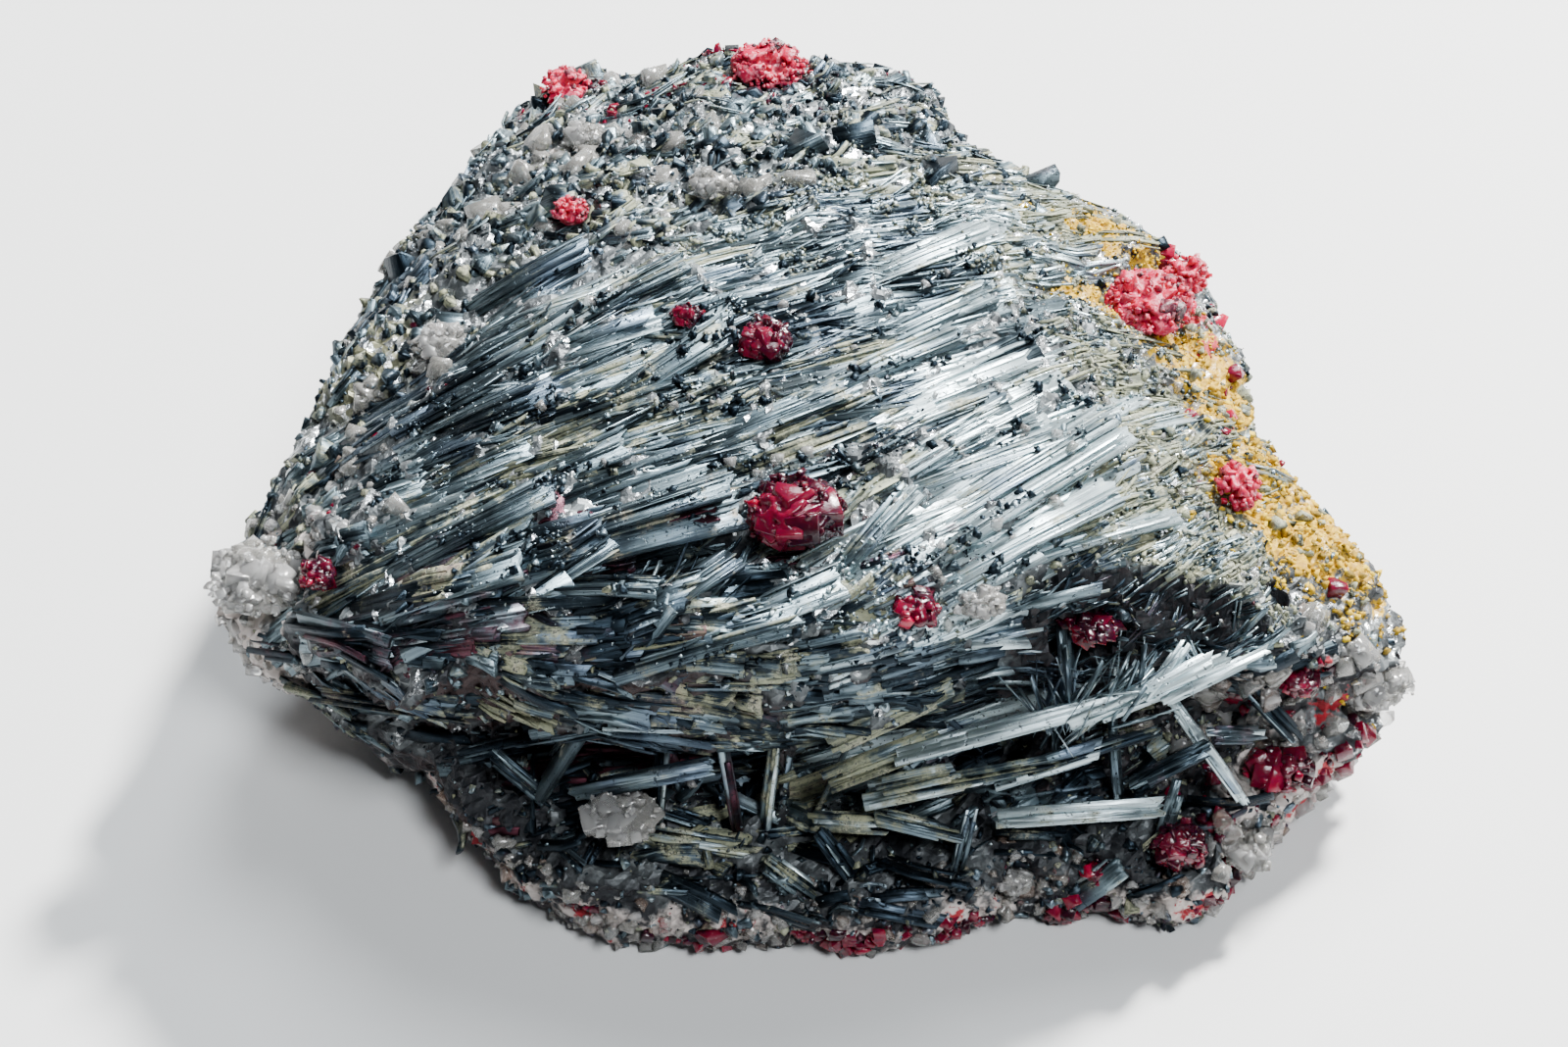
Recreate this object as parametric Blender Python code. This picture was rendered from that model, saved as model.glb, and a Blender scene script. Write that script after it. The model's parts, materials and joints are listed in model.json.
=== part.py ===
"""A hand specimen of cinnabar on stibnite, lying on its broken base with the crystal face up.

The stibnite mass is one solid: the broken body, its open ledge and the blades that grew together
on it. Cinnabar and quartz crystals stand in seats in that mass, each cluster in its own object.

Everything is worked out in millimetres and made in metres. +X runs to the right along the longest
side, -Y faces the broken front with its open ledge, and Z = 0 is the plane the piece rests on.
"""

import math
import random

import bmesh
import bpy
from mathutils import Matrix, Vector, noise

MM = 0.001

# Driving sizes of the mass, mm
HUB = (0.0, -3.0)  # the middle that the outlines are measured from
CREST_AT = (-1.0, -3.0)
CREST = 26.0  # height of the crystal face at its highest
HALF_LENGTH = 36.0
HALF_DEPTH = 30.0
SIDE_FALL = 13.0  # how far the face falls to the left and right tips
SIDE_CURVE = 1.9
END_FALL = 5.4  # how far it falls to the front and back edges
EDGE_FALL = 1.3  # rounding of the face at its broken edge
EDGE_BAND = 0.12  # share of the radius that the rounding takes
BLOCK_TOP = 40.0  # the body is made this high, then the crystal face cuts it off
SHOULDER = 17.5  # a break in the front cliff
LEDGE_ROOF = 13.2  # the cliff's lower edge, over the open ledge
LEDGE_DEPTH = 4.2
LEDGE_WANDER = 0.5  # share by which the ledge's depth comes and goes
SLAB_TOP = 7.2  # height of the base slab's top at the sides
SLAB_DIP = 2.2  # how much lower it is in front
SLAB_RISE = 1.4  # how much higher at the left tip
OVERHANG = 0.8  # the sides fall this far inside the face edge where there is no slab
SLAB_INSET = 0.3  # the slab's foot lies this far inside its rim
STATIONS = 76  # columns of facets round the sides
FACE_CELL = 3.1  # spacing of the facets on the crystal face

# Roughness of broken surfaces: cell size and height, mm
SIDE_ROUGH = (3.1, 1.3)
SIDE_STEP = (3.1, 1.0)
FACE_LUMPS = (4.4, 1.7)
FACE_GRAIN = (2.1, 0.8)
FACE_SHIFT = (2.3, 1.1)

# Edge of the crystal face, from the left tip round the back to the right tip and the front, mm
FACE_EDGE = [
    (-36.6, -11.4), (-34.8, -8.8), (-32.0, -3.5), (-30.0, 2.8), (-28.8, 7.6), (-26.4, 12.6),
    (-24.0, 15.8), (-22.0, 18.8), (-21.2, 21.8), (-20.8, 25.4), (-21.2, 28.8), (-17.0, 29.9),
    (-12.0, 28.1), (-8.0, 28.3), (-5.0, 29.0), (-0.9, 27.2), (3.4, 27.0), (7.6, 25.6),
    (8.2, 22.9), (9.6, 17.8), (13.0, 15.6), (17.2, 13.2), (21.2, 12.0), (24.4, 10.6),
    (25.2, 7.5), (25.8, 2.3), (26.0, -2.2), (28.0, -5.2), (30.0, -7.4), (32.2, -8.9),
    (34.2, -11.4), (35.8, -13.8), (36.2, -15.6), (33.4, -17.0), (25.0, -19.6), (16.5, -19.9),
    (12.0, -20.6), (6.6, -22.4), (1.2, -23.8), (-4.2, -24.8), (-9.7, -24.4), (-15.7, -23.4),
    (-23.8, -21.4), (-30.0, -18.0), (-34.6, -14.2),
]
# Rim of the base slab, which stands out in front below the face, from the right tip to the left
SLAB_RIM = [
    (35.2, -14.3), (35.2, -16.6), (33.4, -18.8), (30.2, -20.9), (27.0, -23.4), (24.6, -26.0),
    (22.6, -28.9), (18.3, -27.6), (14.0, -27.2), (10.2, -27.4), (8.0, -29.2), (3.0, -29.6),
    (-2.0, -30.1), (-6.0, -29.7), (-10.0, -29.8), (-15.0, -28.2), (-18.2, -26.0),
    (-20.7, -23.7), (-22.9, -20.7), (-25.1, -19.0), (-28.2, -18.4), (-32.5, -15.3),
    (-35.6, -12.6),
]
# Where the undercut back and sides meet the resting plane, from the left round to the right
BACK_FOOT = [
    (-18.0, -24.8), (-21.4, -20.4), (-24.0, -16.5), (-25.0, -13.0), (-25.5, -6.0), (-23.0, 1.0),
    (-20.5, 9.0), (-17.0, 17.0), (-13.0, 22.0), (-6.0, 23.5), (2.0, 22.0), (6.0, 18.0),
    (19.0, 8.0), (22.0, 4.0), (23.5, -3.0), (27.0, -9.0), (30.5, -15.0), (29.6, -18.0),
    (26.0, -23.0), (24.2, -25.8),
]

# Main blades on the crystal face: foot (x, y), tip (x, y), width, and how far the tip lifts, mm
FACE_BLADES = [
    ((-16.5, -18.8), (-3.6, -16.8), 1.6, 0.5), ((-17.0, -17.4), (-4.2, -15.6), 1.3, 0.6),
    ((-13.4, -9.4), (-4.5, -4.2), 1.5, 0.7), ((-12.2, -10.4), (-3.8, -6.0), 1.1, 0.4),
    ((-7.8, -12.4), (2.0, -8.4), 1.2, 0.3), ((3.6, -15.4), (15.4, -9.4), 1.2, 0.4),
    ((3.4, -14.2), (13.0, -8.8), 1.0, 0.2), ((3.8, -18.9), (17.2, -8.4), 1.3, 0.9),
    ((6.4, -19.2), (18.2, -9.6), 1.2, 0.8), ((4.4, -21.2), (17.2, -13.8), 1.4, 0.8),
    ((4.6, -22.2), (12.6, -17.6), 1.2, 0.3), ((1.4, -20.4), (5.8, -15.4), 0.9, 0.7),
    ((11.6, -18.2), (21.0, -13.0), 1.0, 0.1), ((-16.0, -23.6), (-7.6, -21.8), 1.7, 0.4),
    ((-9.0, -22.4), (-4.2, -19.2), 1.4, 0.3), ((-24.0, -23.4), (-13.2, -19.8), 2.0, 0.5),
    ((-24.4, -18.2), (-15.8, -18.4), 1.8, 0.2), ((-14.2, -19.8), (-8.2, -21.6), 0.9, 0.9),
    ((-24.4, -15.6), (-14.2, -14.0), 1.4, 0.2), ((-21.6, -13.6), (-10.2, -11.6), 1.3, 0.2),
    ((-20.8, 2.4), (-13.2, 4.6), 1.0, 0.3), ((-15.8, -1.6), (-7.2, 1.6), 1.1, 0.2),
    ((-0.6, -9.2), (8.8, -3.4), 1.1, 0.3), ((2.0, -5.2), (10.8, 0.2), 1.0, 0.2),
    ((3.0, 0.4), (11.6, 6.6), 1.1, 0.2), ((-22.8, -7.6), (-14.6, -6.8), 1.1, 0.2),
    ((-11.4, -24.9), (-0.4, -23.3), 1.8, 0.1), ((-7.2, -23.4), (1.8, -21.3), 1.5, 0.4),
    ((-19.0, -21.0), (-11.0, -17.6), 1.4, 0.4),
]
# Blades that cross the open ledge in front: foot (x, y, z), tip (x, y, z), width, mm
LEDGE_BLADES = [
    ((-1.4, -22.6, 15.0), (-2.6, -25.6, 3.6), 1.9), ((-14.0, -23.8, 8.0), (-5.4, -25.0, 12.6), 1.1),
    ((-11.5, -25.2, 6.6), (-2.6, -26.8, 6.4), 1.6), ((-15.6, -27.2, 4.2), (-6.6, -28.4, 5.2), 1.8),
    ((-3.0, -27.6, 7.4), (2.6, -29.0, 2.2), 1.4), ((0.4, -26.8, 8.8), (3.8, -28.2, 2.6), 1.2),
    ((-5.0, -23.2, 14.0), (-3.9, -25.6, 5.6), 1.0), ((-8.2, -22.4, 13.6), (-9.0, -25.2, 5.0), 1.0),
    ((-0.8, -25.2, 7.2), (4.6, -26.2, 8.2), 1.4), ((4.6, -25.4, 13.4), (19.0, -22.2, 15.4), 1.9),
    ((14.4, -23.8, 14.6), (23.8, -20.4, 16.4), 1.4), ((2.4, -25.8, 10.4), (10.0, -25.2, 12.4), 2.0),
    ((9.4, -25.2, 10.6), (17.0, -23.6, 12.4), 1.3), ((10.6, -25.8, 8.4), (20.4, -25.2, 8.8), 1.5),
    ((20.4, -21.8, 14.6), (25.4, -24.2, 7.4), 1.0), ((9.2, -25.8, 9.6), (8.2, -27.8, 3.4), 1.0),
    ((24.8, -19.4, 13.4), (29.6, -20.6, 8.6), 1.5), ((-16.0, -23.6, 13.0), (-9.2, -23.8, 15.4), 1.3),
    ((1.0, -24.6, 14.2), (8.0, -22.8, 17.4), 1.7), ((0.6, -25.4, 11.4), (7.4, -24.0, 14.0), 1.7),
    ((-3.4, -24.4, 16.4), (5.0, -23.0, 17.6), 1.6), ((-29.0, -18.6, 10.6), (-18.6, -22.2, 13.2), 1.5),
    ((-33.0, -15.6, 11.2), (-22.6, -19.6, 14.2), 1.3), ((-18.4, -22.8, 10.8), (-13.4, -24.4, 5.4), 1.2),
    ((14.2, -19.6, 18.6), (14.8, -22.8, 12.6), 1.0), ((21.4, -23.8, 9.6), (20.2, -26.2, 4.2), 1.0),
]
BLADE_FLATNESS = 0.62  # thickness of a blade as a share of its width
BROAD_BLADE = 1.45  # blades wider than this have six sides, the others four
BLADE_TURN = 0.6  # most that a blade is turned about its own length, radians

# Further blades over the crystal face, set out by rule along the spray
FILL_BLADES = 14
FILL_LENGTH = (5.0, 9.0)
FILL_WIDTH = (1.0, 1.5)
FILL_REACH = 0.74  # share of the face's radius that they cover
FILL_SWAY = 0.15  # most that one strays from the spray's heading, radians

# Crystal clusters on the face: middle (x, y), size (x, y, z), crystals, share standing proud
CINNABAR_ON_FACE = {
    "cinnabar_centre": ((-1.4, -17.2), (5.6, 4.8, 5.2), 6, 0.56),
    "cinnabar_crest": ((-3.2, -4.8), (3.8, 2.8, 2.6), 4, 0.5),
    "cinnabar_crest_west": ((-7.6, -2.4), (2.0, 1.8, 1.8), 3, 0.5),
    "cinnabar_ledge_pair": ((5.2, -22.0), (3.4, 2.0, 2.0), 4, 0.5),
    "cinnabar_dark_plate": ((15.2, -20.0), (4.4, 2.2, 3.4), 3, 0.0),
    "cinnabar_east_large": ((20.5, 3.2), (6.0, 4.6, 2.8), 5, 0.4),
    "cinnabar_east_rim": ((23.0, 7.6), (3.0, 3.4, 2.6), 4, 0.4),
    "cinnabar_east_low": ((24.4, -9.8), (2.8, 4.0, 2.2), 4, 0.4),
    "cinnabar_northwest": ((-15.0, 9.0), (2.4, 2.2, 2.0), 3, 0.5),
    "cinnabar_north_corner": ((-16.8, 25.8), (3.8, 3.6, 2.8), 4, 0.4),
    "cinnabar_north_peak": ((-3.0, 24.6), (5.4, 3.8, 2.8), 5, 0.4),
    "cinnabar_west_tip": ((-28.6, -15.2), (2.6, 2.2, 2.0), 3, 0.6),
}
QUARTZ_ON_FACE = {
    "quartz_west_tip": ((-32.4, -13.2), (6.4, 5.6, 4.4), 6, 0.36),
    "quartz_mid_patch": ((9.0, -21.0), (3.4, 2.8, 2.0), 3, 0.5),
    "quartz_north_grain": ((-14.4, 17.4), (3.0, 2.8, 2.6), 3, 0.5),
    "quartz_north_round": ((-6.4, 9.6), (3.2, 3.0, 2.2), 3, 0.45),
    "quartz_northwest": ((-22.4, -0.4), (3.6, 3.0, 2.4), 4, 0.45),
}
# Clusters on the broken front: middle (x, y, z), size (x, y, z), crystals
CINNABAR_IN_FRONT = {
    "cinnabar_front_block": ((21.0, -26.4, 6.2), (3.4, 3.0, 3.4), 4),
    "cinnabar_front_small": ((16.6, -26.8, 4.2), (2.4, 2.2, 2.2), 3),
    "cinnabar_front_streak": ((27.4, -21.4, 6.8), (4.0, 3.2, 3.6), 5),
    "cinnabar_east_ledge": ((28.0, -18.6, 11.8), (2.4, 2.4, 2.4), 3),
    "cinnabar_front_foot": ((-0.4, -29.2, 1.8), (2.8, 2.0, 2.0), 3),
}
QUARTZ_IN_FRONT = {
    "quartz_east_tip": ((33.2, -15.8, 7.8), (5.0, 4.2, 4.8), 6),
    "quartz_front_west": ((-11.4, -26.0, 8.4), (5.2, 3.0, 2.8), 5),
    "quartz_front_east": ((24.8, -25.0, 4.0), (4.2, 3.4, 3.8), 4),
    "quartz_front_foot": ((11.6, -27.0, 3.4), (2.8, 2.4, 2.4), 3),
}
MIDDLE_SHARE = 0.58  # size of a cluster's middle crystal, as a share of the cluster
OUTER_SHARE = (0.32, 0.44)  # and of the crystals round it
OUTER_REACH = 0.25  # how far out those stand
SEAT_GAP = 0.35  # clearance between a cluster and its seat


def clear_scene():
    for old in list(bpy.data.objects):
        bpy.data.objects.remove(old)


def new_material(name, colour, roughness, metallic):
    material = bpy.data.materials.new(name)
    material.use_nodes = True
    shader = material.node_tree.nodes["Principled BSDF"]
    shader.inputs["Base Color"].default_value = (*colour, 1.0)
    shader.inputs["Roughness"].default_value = roughness
    shader.inputs["Metallic"].default_value = metallic
    return material


def finish_with(solid, material):
    solid.data.materials.clear()
    solid.data.materials.append(material)


def object_from(name, bm):
    """A new object from a bmesh in millimetres."""
    bmesh.ops.scale(bm, vec=(MM, MM, MM), verts=bm.verts)
    bmesh.ops.recalc_face_normals(bm, faces=bm.faces)
    mesh = bpy.data.meshes.new(name)
    bm.to_mesh(mesh)
    bm.free()
    made = bpy.data.objects.new(name, mesh)
    bpy.context.scene.collection.objects.link(made)
    return made


def combine(target, others, operation):
    """Joins the other objects to the target, or cuts them from it, and removes them."""
    group = bpy.data.collections.new(f"{target.name}_{operation.lower()}")
    for other in others:
        group.objects.link(other)
    step = target.modifiers.new(operation.title(), "BOOLEAN")
    step.operation = operation
    step.solver = "EXACT"
    step.operand_type = "COLLECTION"
    step.collection = group
    bpy.context.view_layer.update()
    graph = bpy.context.evaluated_depsgraph_get()
    result = bpy.data.meshes.new_from_object(target.evaluated_get(graph))
    target.modifiers.clear()
    target.data = result
    for other in others:
        bpy.data.objects.remove(other)
    bpy.data.collections.remove(group)


def keep_main_body(target):
    """Drops the chips that a cut leaves loose."""
    bm = bmesh.new()
    bm.from_mesh(target.data)
    unseen = set(bm.verts)
    bodies = []
    while unseen:
        growing = [unseen.pop()]
        body = list(growing)
        while growing:
            for edge in growing.pop().link_edges:
                for vert in edge.verts:
                    if vert in unseen:
                        unseen.remove(vert)
                        growing.append(vert)
                        body.append(vert)
        bodies.append(body)
    largest = max(bodies, key=len)
    loose = [vert for body in bodies if body is not largest for vert in body]
    bmesh.ops.delete(bm, geom=loose, context="VERTS")
    bm.to_mesh(target.data)
    bm.free()


def reach(line, angle):
    """Distance from the hub to a line of points in one direction, or None where it isn't met."""
    along = Vector((math.cos(angle), math.sin(angle)))
    across = Vector((-along.y, along.x))
    hub = Vector(HUB)
    for first, second in zip(line, line[1:]):
        start, end = Vector(first) - hub, Vector(second) - hub
        side_start, side_end = start @ across, end @ across
        if side_start * side_end > 0 or side_start == side_end:
            continue
        hit = start.lerp(end, side_start / (side_start - side_end)) @ along
        if hit > 0:
            return hit
    return None


def edge_reach(angle):
    """Distance from the hub to the edge of the crystal face."""
    return reach(FACE_EDGE + FACE_EDGE[:1], angle)


def rough(x, y, z, roughness):
    cell, height = roughness
    return height * noise.noise(Vector((x, y, z)) / cell)


def face_height(x, y):
    """Height of the crystal face above the resting plane."""
    across = abs(x - CREST_AT[0]) / HALF_LENGTH
    along = (y - CREST_AT[1]) / HALF_DEPTH
    height = CREST - SIDE_FALL * across**SIDE_CURVE - END_FALL * along**2
    away = Vector((x - HUB[0], y - HUB[1]))
    if away.length > 1.0:
        share = away.length / edge_reach(math.atan2(away.y, away.x))
        rounding = min(max((share - 1 + EDGE_BAND) / EDGE_BAND, 0.0), 1.4)
        height -= EDGE_FALL * rounding**2
    return height


def side_stations():
    """Points round the face edge, the columns that the sides are built on."""
    closed = [Vector(point) for point in FACE_EDGE + FACE_EDGE[:1]]
    step = sum((b - a).length for a, b in zip(closed, closed[1:])) / STATIONS
    stations = []
    for start, end in zip(closed, closed[1:]):
        parts = max(1, round((end - start).length / step))
        stations += [start.lerp(end, part / parts) for part in range(parts)]
    return stations


def side_column(station):
    """One column of the sides, from the top of the block down to the foot."""
    away = station - Vector(HUB)
    angle = math.atan2(away.y, away.x)
    out = away.normalized()
    rim_reach = reach(SLAB_RIM, angle) or edge_reach(angle) - OVERHANG
    foot_reach = reach(BACK_FOOT, angle) or rim_reach - SLAB_INSET
    rim = Vector(HUB) + out * rim_reach
    foot = Vector(HUB) + out * foot_reach

    in_front = max(0.0, -out.y - 0.35) / 0.65
    to_left = max(0.0, -out.x)
    slab = SLAB_TOP - SLAB_DIP * in_front + SLAB_RISE * to_left
    wander = 1 + LEDGE_WANDER * noise.noise((station.x / 4, 0, 0))
    ledge = LEDGE_DEPTH * min(1.0, 1.6 * in_front) * wander
    profile = [
        (station + out * 0.2, BLOCK_TOP),
        (station + out * 0.2, SHOULDER),
        (station - out * 0.2, LEDGE_ROOF),
        (station - out * (0.4 + ledge), LEDGE_ROOF - 1.6),
        (station.lerp(rim, 0.3) - out * ledge, slab + 1.8),
        (rim - out * (0.4 + 0.3 * ledge), slab + 0.6),
        (rim, slab - 1.0),
        (rim.lerp(foot, 0.6) + out * 0.3, 2.2),
        (foot, 0.0),
    ]
    column = []
    for place, height in profile:
        x, y, z = place.x, place.y, height
        if 0.0 < height < BLOCK_TOP:
            push = rough(x, y, z, SIDE_ROUGH)
            z += rough(x + 9, y + 9, z + 9, SIDE_STEP)
            x += push * out.x
            y += push * out.y
        column.append((x, y, z))
    return column


def broken_body():
    """The body under the crystal face: front cliff, open ledge, base slab, undercut back."""
    bm = bmesh.new()
    columns = [[bm.verts.new(point) for point in side_column(at)] for at in side_stations()]
    for left, right in zip(columns, columns[1:] + columns[:1]):
        for row in range(len(left) - 1):
            bm.faces.new((left[row], right[row], right[row + 1], left[row + 1]))
    bm.faces.new([column[0] for column in columns])
    bm.faces.new([column[-1] for column in columns])
    bmesh.ops.triangulate(bm, faces=bm.faces)
    return object_from("broken_body", bm)


def crystal_face():
    """A block larger than the mass, whose rough top is the crystal face."""
    across = 2 * round(HALF_LENGTH / FACE_CELL) + 4
    along = 2 * round(HALF_DEPTH / FACE_CELL) + 4
    bm = bmesh.new()
    bmesh.ops.create_grid(bm, x_segments=across, y_segments=along, size=0.5)
    bmesh.ops.scale(bm, vec=(across * FACE_CELL, along * FACE_CELL, 1), verts=bm.verts)
    for vert in bm.verts:
        x = vert.co.x + rough(vert.co.x, vert.co.y, 3.0, FACE_SHIFT)
        y = vert.co.y + rough(vert.co.x, vert.co.y, 7.0, FACE_SHIFT)
        lumps = rough(x, y, 0.0, FACE_LUMPS) + rough(x, y, 5.0, FACE_GRAIN)
        vert.co = (x, y, max(face_height(x, y) + lumps, 0.5))
    border = [edge for edge in bm.edges if edge.is_boundary]
    wall = bmesh.ops.extrude_edge_only(bm, edges=border)["geom"]
    foot = [item for item in wall if isinstance(item, bmesh.types.BMVert)]
    for vert in foot:
        vert.co.z = -5.0
    bm.faces.new(sorted(foot, key=lambda vert: math.atan2(vert.co.y, vert.co.x)))
    bmesh.ops.triangulate(bm, faces=bm.faces)
    return object_from("crystal_face", bm)


def blade(foot, tip, width, turn):
    """One stibnite blade: a flattened prism with a chisel point at its tip."""
    foot, tip = Vector(foot), Vector(tip)
    bm = bmesh.new()
    bmesh.ops.create_cone(
        bm,
        cap_ends=True,
        segments=6 if width > BROAD_BLADE else 4,
        radius1=0.5 * width,
        radius2=0.46 * width,
        depth=(tip - foot).length,
    )
    top = max(bm.faces, key=lambda face: face.calc_center_median().z)
    point = bmesh.ops.extrude_discrete_faces(bm, faces=[top])["faces"][0]
    bmesh.ops.translate(bm, vec=(0, 0, 0.8 * width), verts=point.verts)
    about_point = Matrix.Translation(-point.calc_center_median())
    bmesh.ops.scale(bm, vec=(0.7, 0.15, 1), space=about_point, verts=point.verts)
    bmesh.ops.scale(bm, vec=(1, BLADE_FLATNESS, 1), verts=bm.verts)
    bmesh.ops.rotate(bm, matrix=Matrix.Rotation(turn, 3, "Z"), verts=bm.verts)
    lie = (tip - foot).to_track_quat("Z", "Y").to_matrix()
    bmesh.ops.rotate(bm, matrix=lie, verts=bm.verts)
    bmesh.ops.translate(bm, vec=(foot + tip) / 2, verts=bm.verts)
    return object_from("blade", bm)


def spray_heading(x, y):
    """Heading of the blades on the face: a spray that opens towards the right front."""
    fan = 16 * math.tanh((x - 2) / 9) * math.exp(-(((y + 15) / 12) ** 2))
    return math.radians(22 + fan - 0.25 * y)


def main_blades():
    chance = random.Random(11)
    made = []
    for foot, tip, width, lift in FACE_BLADES:
        foot = (*foot, face_height(*foot) - 0.1 * width)
        tip = (*tip, face_height(*tip) + 0.1 * width + lift)
        made.append(blade(foot, tip, width, chance.uniform(-BLADE_TURN, BLADE_TURN)))
    for foot, tip, width in LEDGE_BLADES:
        made.append(blade(foot, tip, width, chance.uniform(-BLADE_TURN, BLADE_TURN)))
    return made


def fill_blades():
    chance = random.Random(5)
    made = []
    while len(made) < FILL_BLADES:
        x = chance.uniform(-HALF_LENGTH, HALF_LENGTH)
        y = chance.uniform(-HALF_DEPTH, HALF_DEPTH)
        away = Vector((x - HUB[0], y - HUB[1]))
        if away.length > FILL_REACH * edge_reach(math.atan2(away.y, away.x)):
            continue
        heading = spray_heading(x, y) + chance.uniform(-FILL_SWAY, FILL_SWAY)
        half = 0.5 * chance.uniform(*FILL_LENGTH)
        run = Vector((math.cos(heading), math.sin(heading))) * half
        foot, tip = (x - run.x, y - run.y), (x + run.x, y + run.y)
        foot = (*foot, face_height(*foot) + 0.1)
        tip = (*tip, face_height(*tip) + 0.5)
        turn = chance.uniform(-BLADE_TURN, BLADE_TURN)
        made.append(blade(foot, tip, chance.uniform(*FILL_WIDTH), turn))
    return made


def crystal(name, centre, size, lean, turn, slant):
    """One flat-faced crystal: a block pushed over along its edges, then leaned and turned."""
    bm = bmesh.new()
    bmesh.ops.create_cube(bm, size=1.0)
    push = Matrix.Shear("XY", 3, (slant, 0.5 * slant))
    bmesh.ops.transform(bm, matrix=push.to_4x4(), verts=bm.verts)
    bmesh.ops.scale(bm, vec=size, verts=bm.verts)
    bmesh.ops.rotate(bm, matrix=Matrix.Rotation(lean, 3, "X"), verts=bm.verts)
    bmesh.ops.rotate(bm, matrix=Matrix.Rotation(turn, 3, "Z"), verts=bm.verts)
    bmesh.ops.translate(bm, vec=centre, verts=bm.verts)
    return object_from(name, bm)


def cluster(name, centre, size, count, chance):
    """Crystals grown together round a middle one, joined in one solid."""
    size = Vector(size)
    grown = []
    for i in range(count):
        out = OUTER_REACH if i else 0.0
        heading = 2 * math.pi * i / max(1, count - 1) + chance.uniform(-0.3, 0.3)
        rise = chance.uniform(-0.5, 0.9)
        offset = Vector((math.cos(heading), math.sin(heading), rise)) * out
        share = chance.uniform(*OUTER_SHARE) if i else MIDDLE_SHARE
        lean = chance.uniform(0.3, 1.2)
        turn = chance.uniform(0, math.pi)
        slant = chance.uniform(0.1, 0.3)
        grown.append(crystal(name, Vector(centre) + offset * size, size * share, lean, turn, slant))
    combine(grown[0], grown[1:], "UNION")
    keep_main_body(grown[0])
    return grown[0]


def clusters(on_face, in_front, material, chance):
    made = []
    for name, (place, size, count, proud) in on_face.items():
        centre = (*place, face_height(*place) + size[2] * (proud - 0.5))
        made.append(cluster(name, centre, size, count, chance))
    for name, (centre, size, count) in in_front.items():
        made.append(cluster(name, centre, size, count, chance))
    for grown in made:
        finish_with(grown, material)
    return made


def seat_of(grown):
    """The room a cluster takes in the mass: its own hull, grown by the clearance."""
    bm = bmesh.new()
    bm.from_mesh(grown.data)
    bmesh.ops.scale(bm, vec=(1 / MM, 1 / MM, 1 / MM), verts=bm.verts)
    hull = bmesh.ops.convex_hull(bm, input=bm.verts)
    inside = [item for item in hull["geom_interior"] if isinstance(item, bmesh.types.BMVert)]
    bmesh.ops.delete(bm, geom=inside, context="VERTS")
    skin = set(hull["geom"])
    bmesh.ops.delete(bm, geom=[face for face in bm.faces if face not in skin], context="FACES")
    bmesh.ops.dissolve_limit(bm, angle_limit=0.02, verts=bm.verts, edges=bm.edges)
    middle = sum((vert.co for vert in bm.verts), Vector()) / len(bm.verts)
    least = min(abs((face.calc_center_median() - middle).dot(face.normal)) for face in bm.faces)
    grow = 1 + SEAT_GAP / least
    about_middle = Matrix.Translation(-middle)
    bmesh.ops.scale(bm, vec=(grow, grow, grow), space=about_middle, verts=bm.verts)
    return object_from("seat", bm)


def stibnite_mass(grown, material):
    """The whole stibnite body, blades and all, with a seat for each crystal cluster."""
    mass = broken_body()
    mass.name = "stibnite_mass"
    combine(mass, [crystal_face()], "INTERSECT")
    combine(mass, main_blades() + fill_blades(), "UNION")
    combine(mass, [seat_of(cluster_solid) for cluster_solid in grown], "DIFFERENCE")
    keep_main_body(mass)
    finish_with(mass, material)
    return mass


def centre_over_origin(solids):
    """Puts the middle of the whole object's box over the origin, with its foot on Z = 0."""
    points = [vert.co for solid in solids for vert in solid.data.vertices]
    low = Vector([min(point[i] for point in points) for i in range(3)])
    high = Vector([max(point[i] for point in points) for i in range(3)])
    shift = Vector((-(low.x + high.x) / 2, -(low.y + high.y) / 2, -low.z))
    for solid in solids:
        solid.data.transform(Matrix.Translation(shift))


def main():
    clear_scene()
    stibnite = new_material("stibnite", (0.34, 0.36, 0.38), 0.35, 0.8)
    cinnabar = new_material("cinnabar", (0.45, 0.02, 0.04), 0.25, 0.0)
    quartz = new_material("quartz", (0.72, 0.68, 0.66), 0.4, 0.0)
    red = clusters(CINNABAR_ON_FACE, CINNABAR_IN_FRONT, cinnabar, random.Random(3))
    white = clusters(QUARTZ_ON_FACE, QUARTZ_IN_FRONT, quartz, random.Random(8))
    mass = stibnite_mass(red + white, stibnite)
    centre_over_origin([mass] + red + white)


main()
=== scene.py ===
import json
import math

import bmesh
import bpy
import numpy as np
from mathutils import Matrix, Vector, noise
from mathutils.bvhtree import BVHTree

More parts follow.
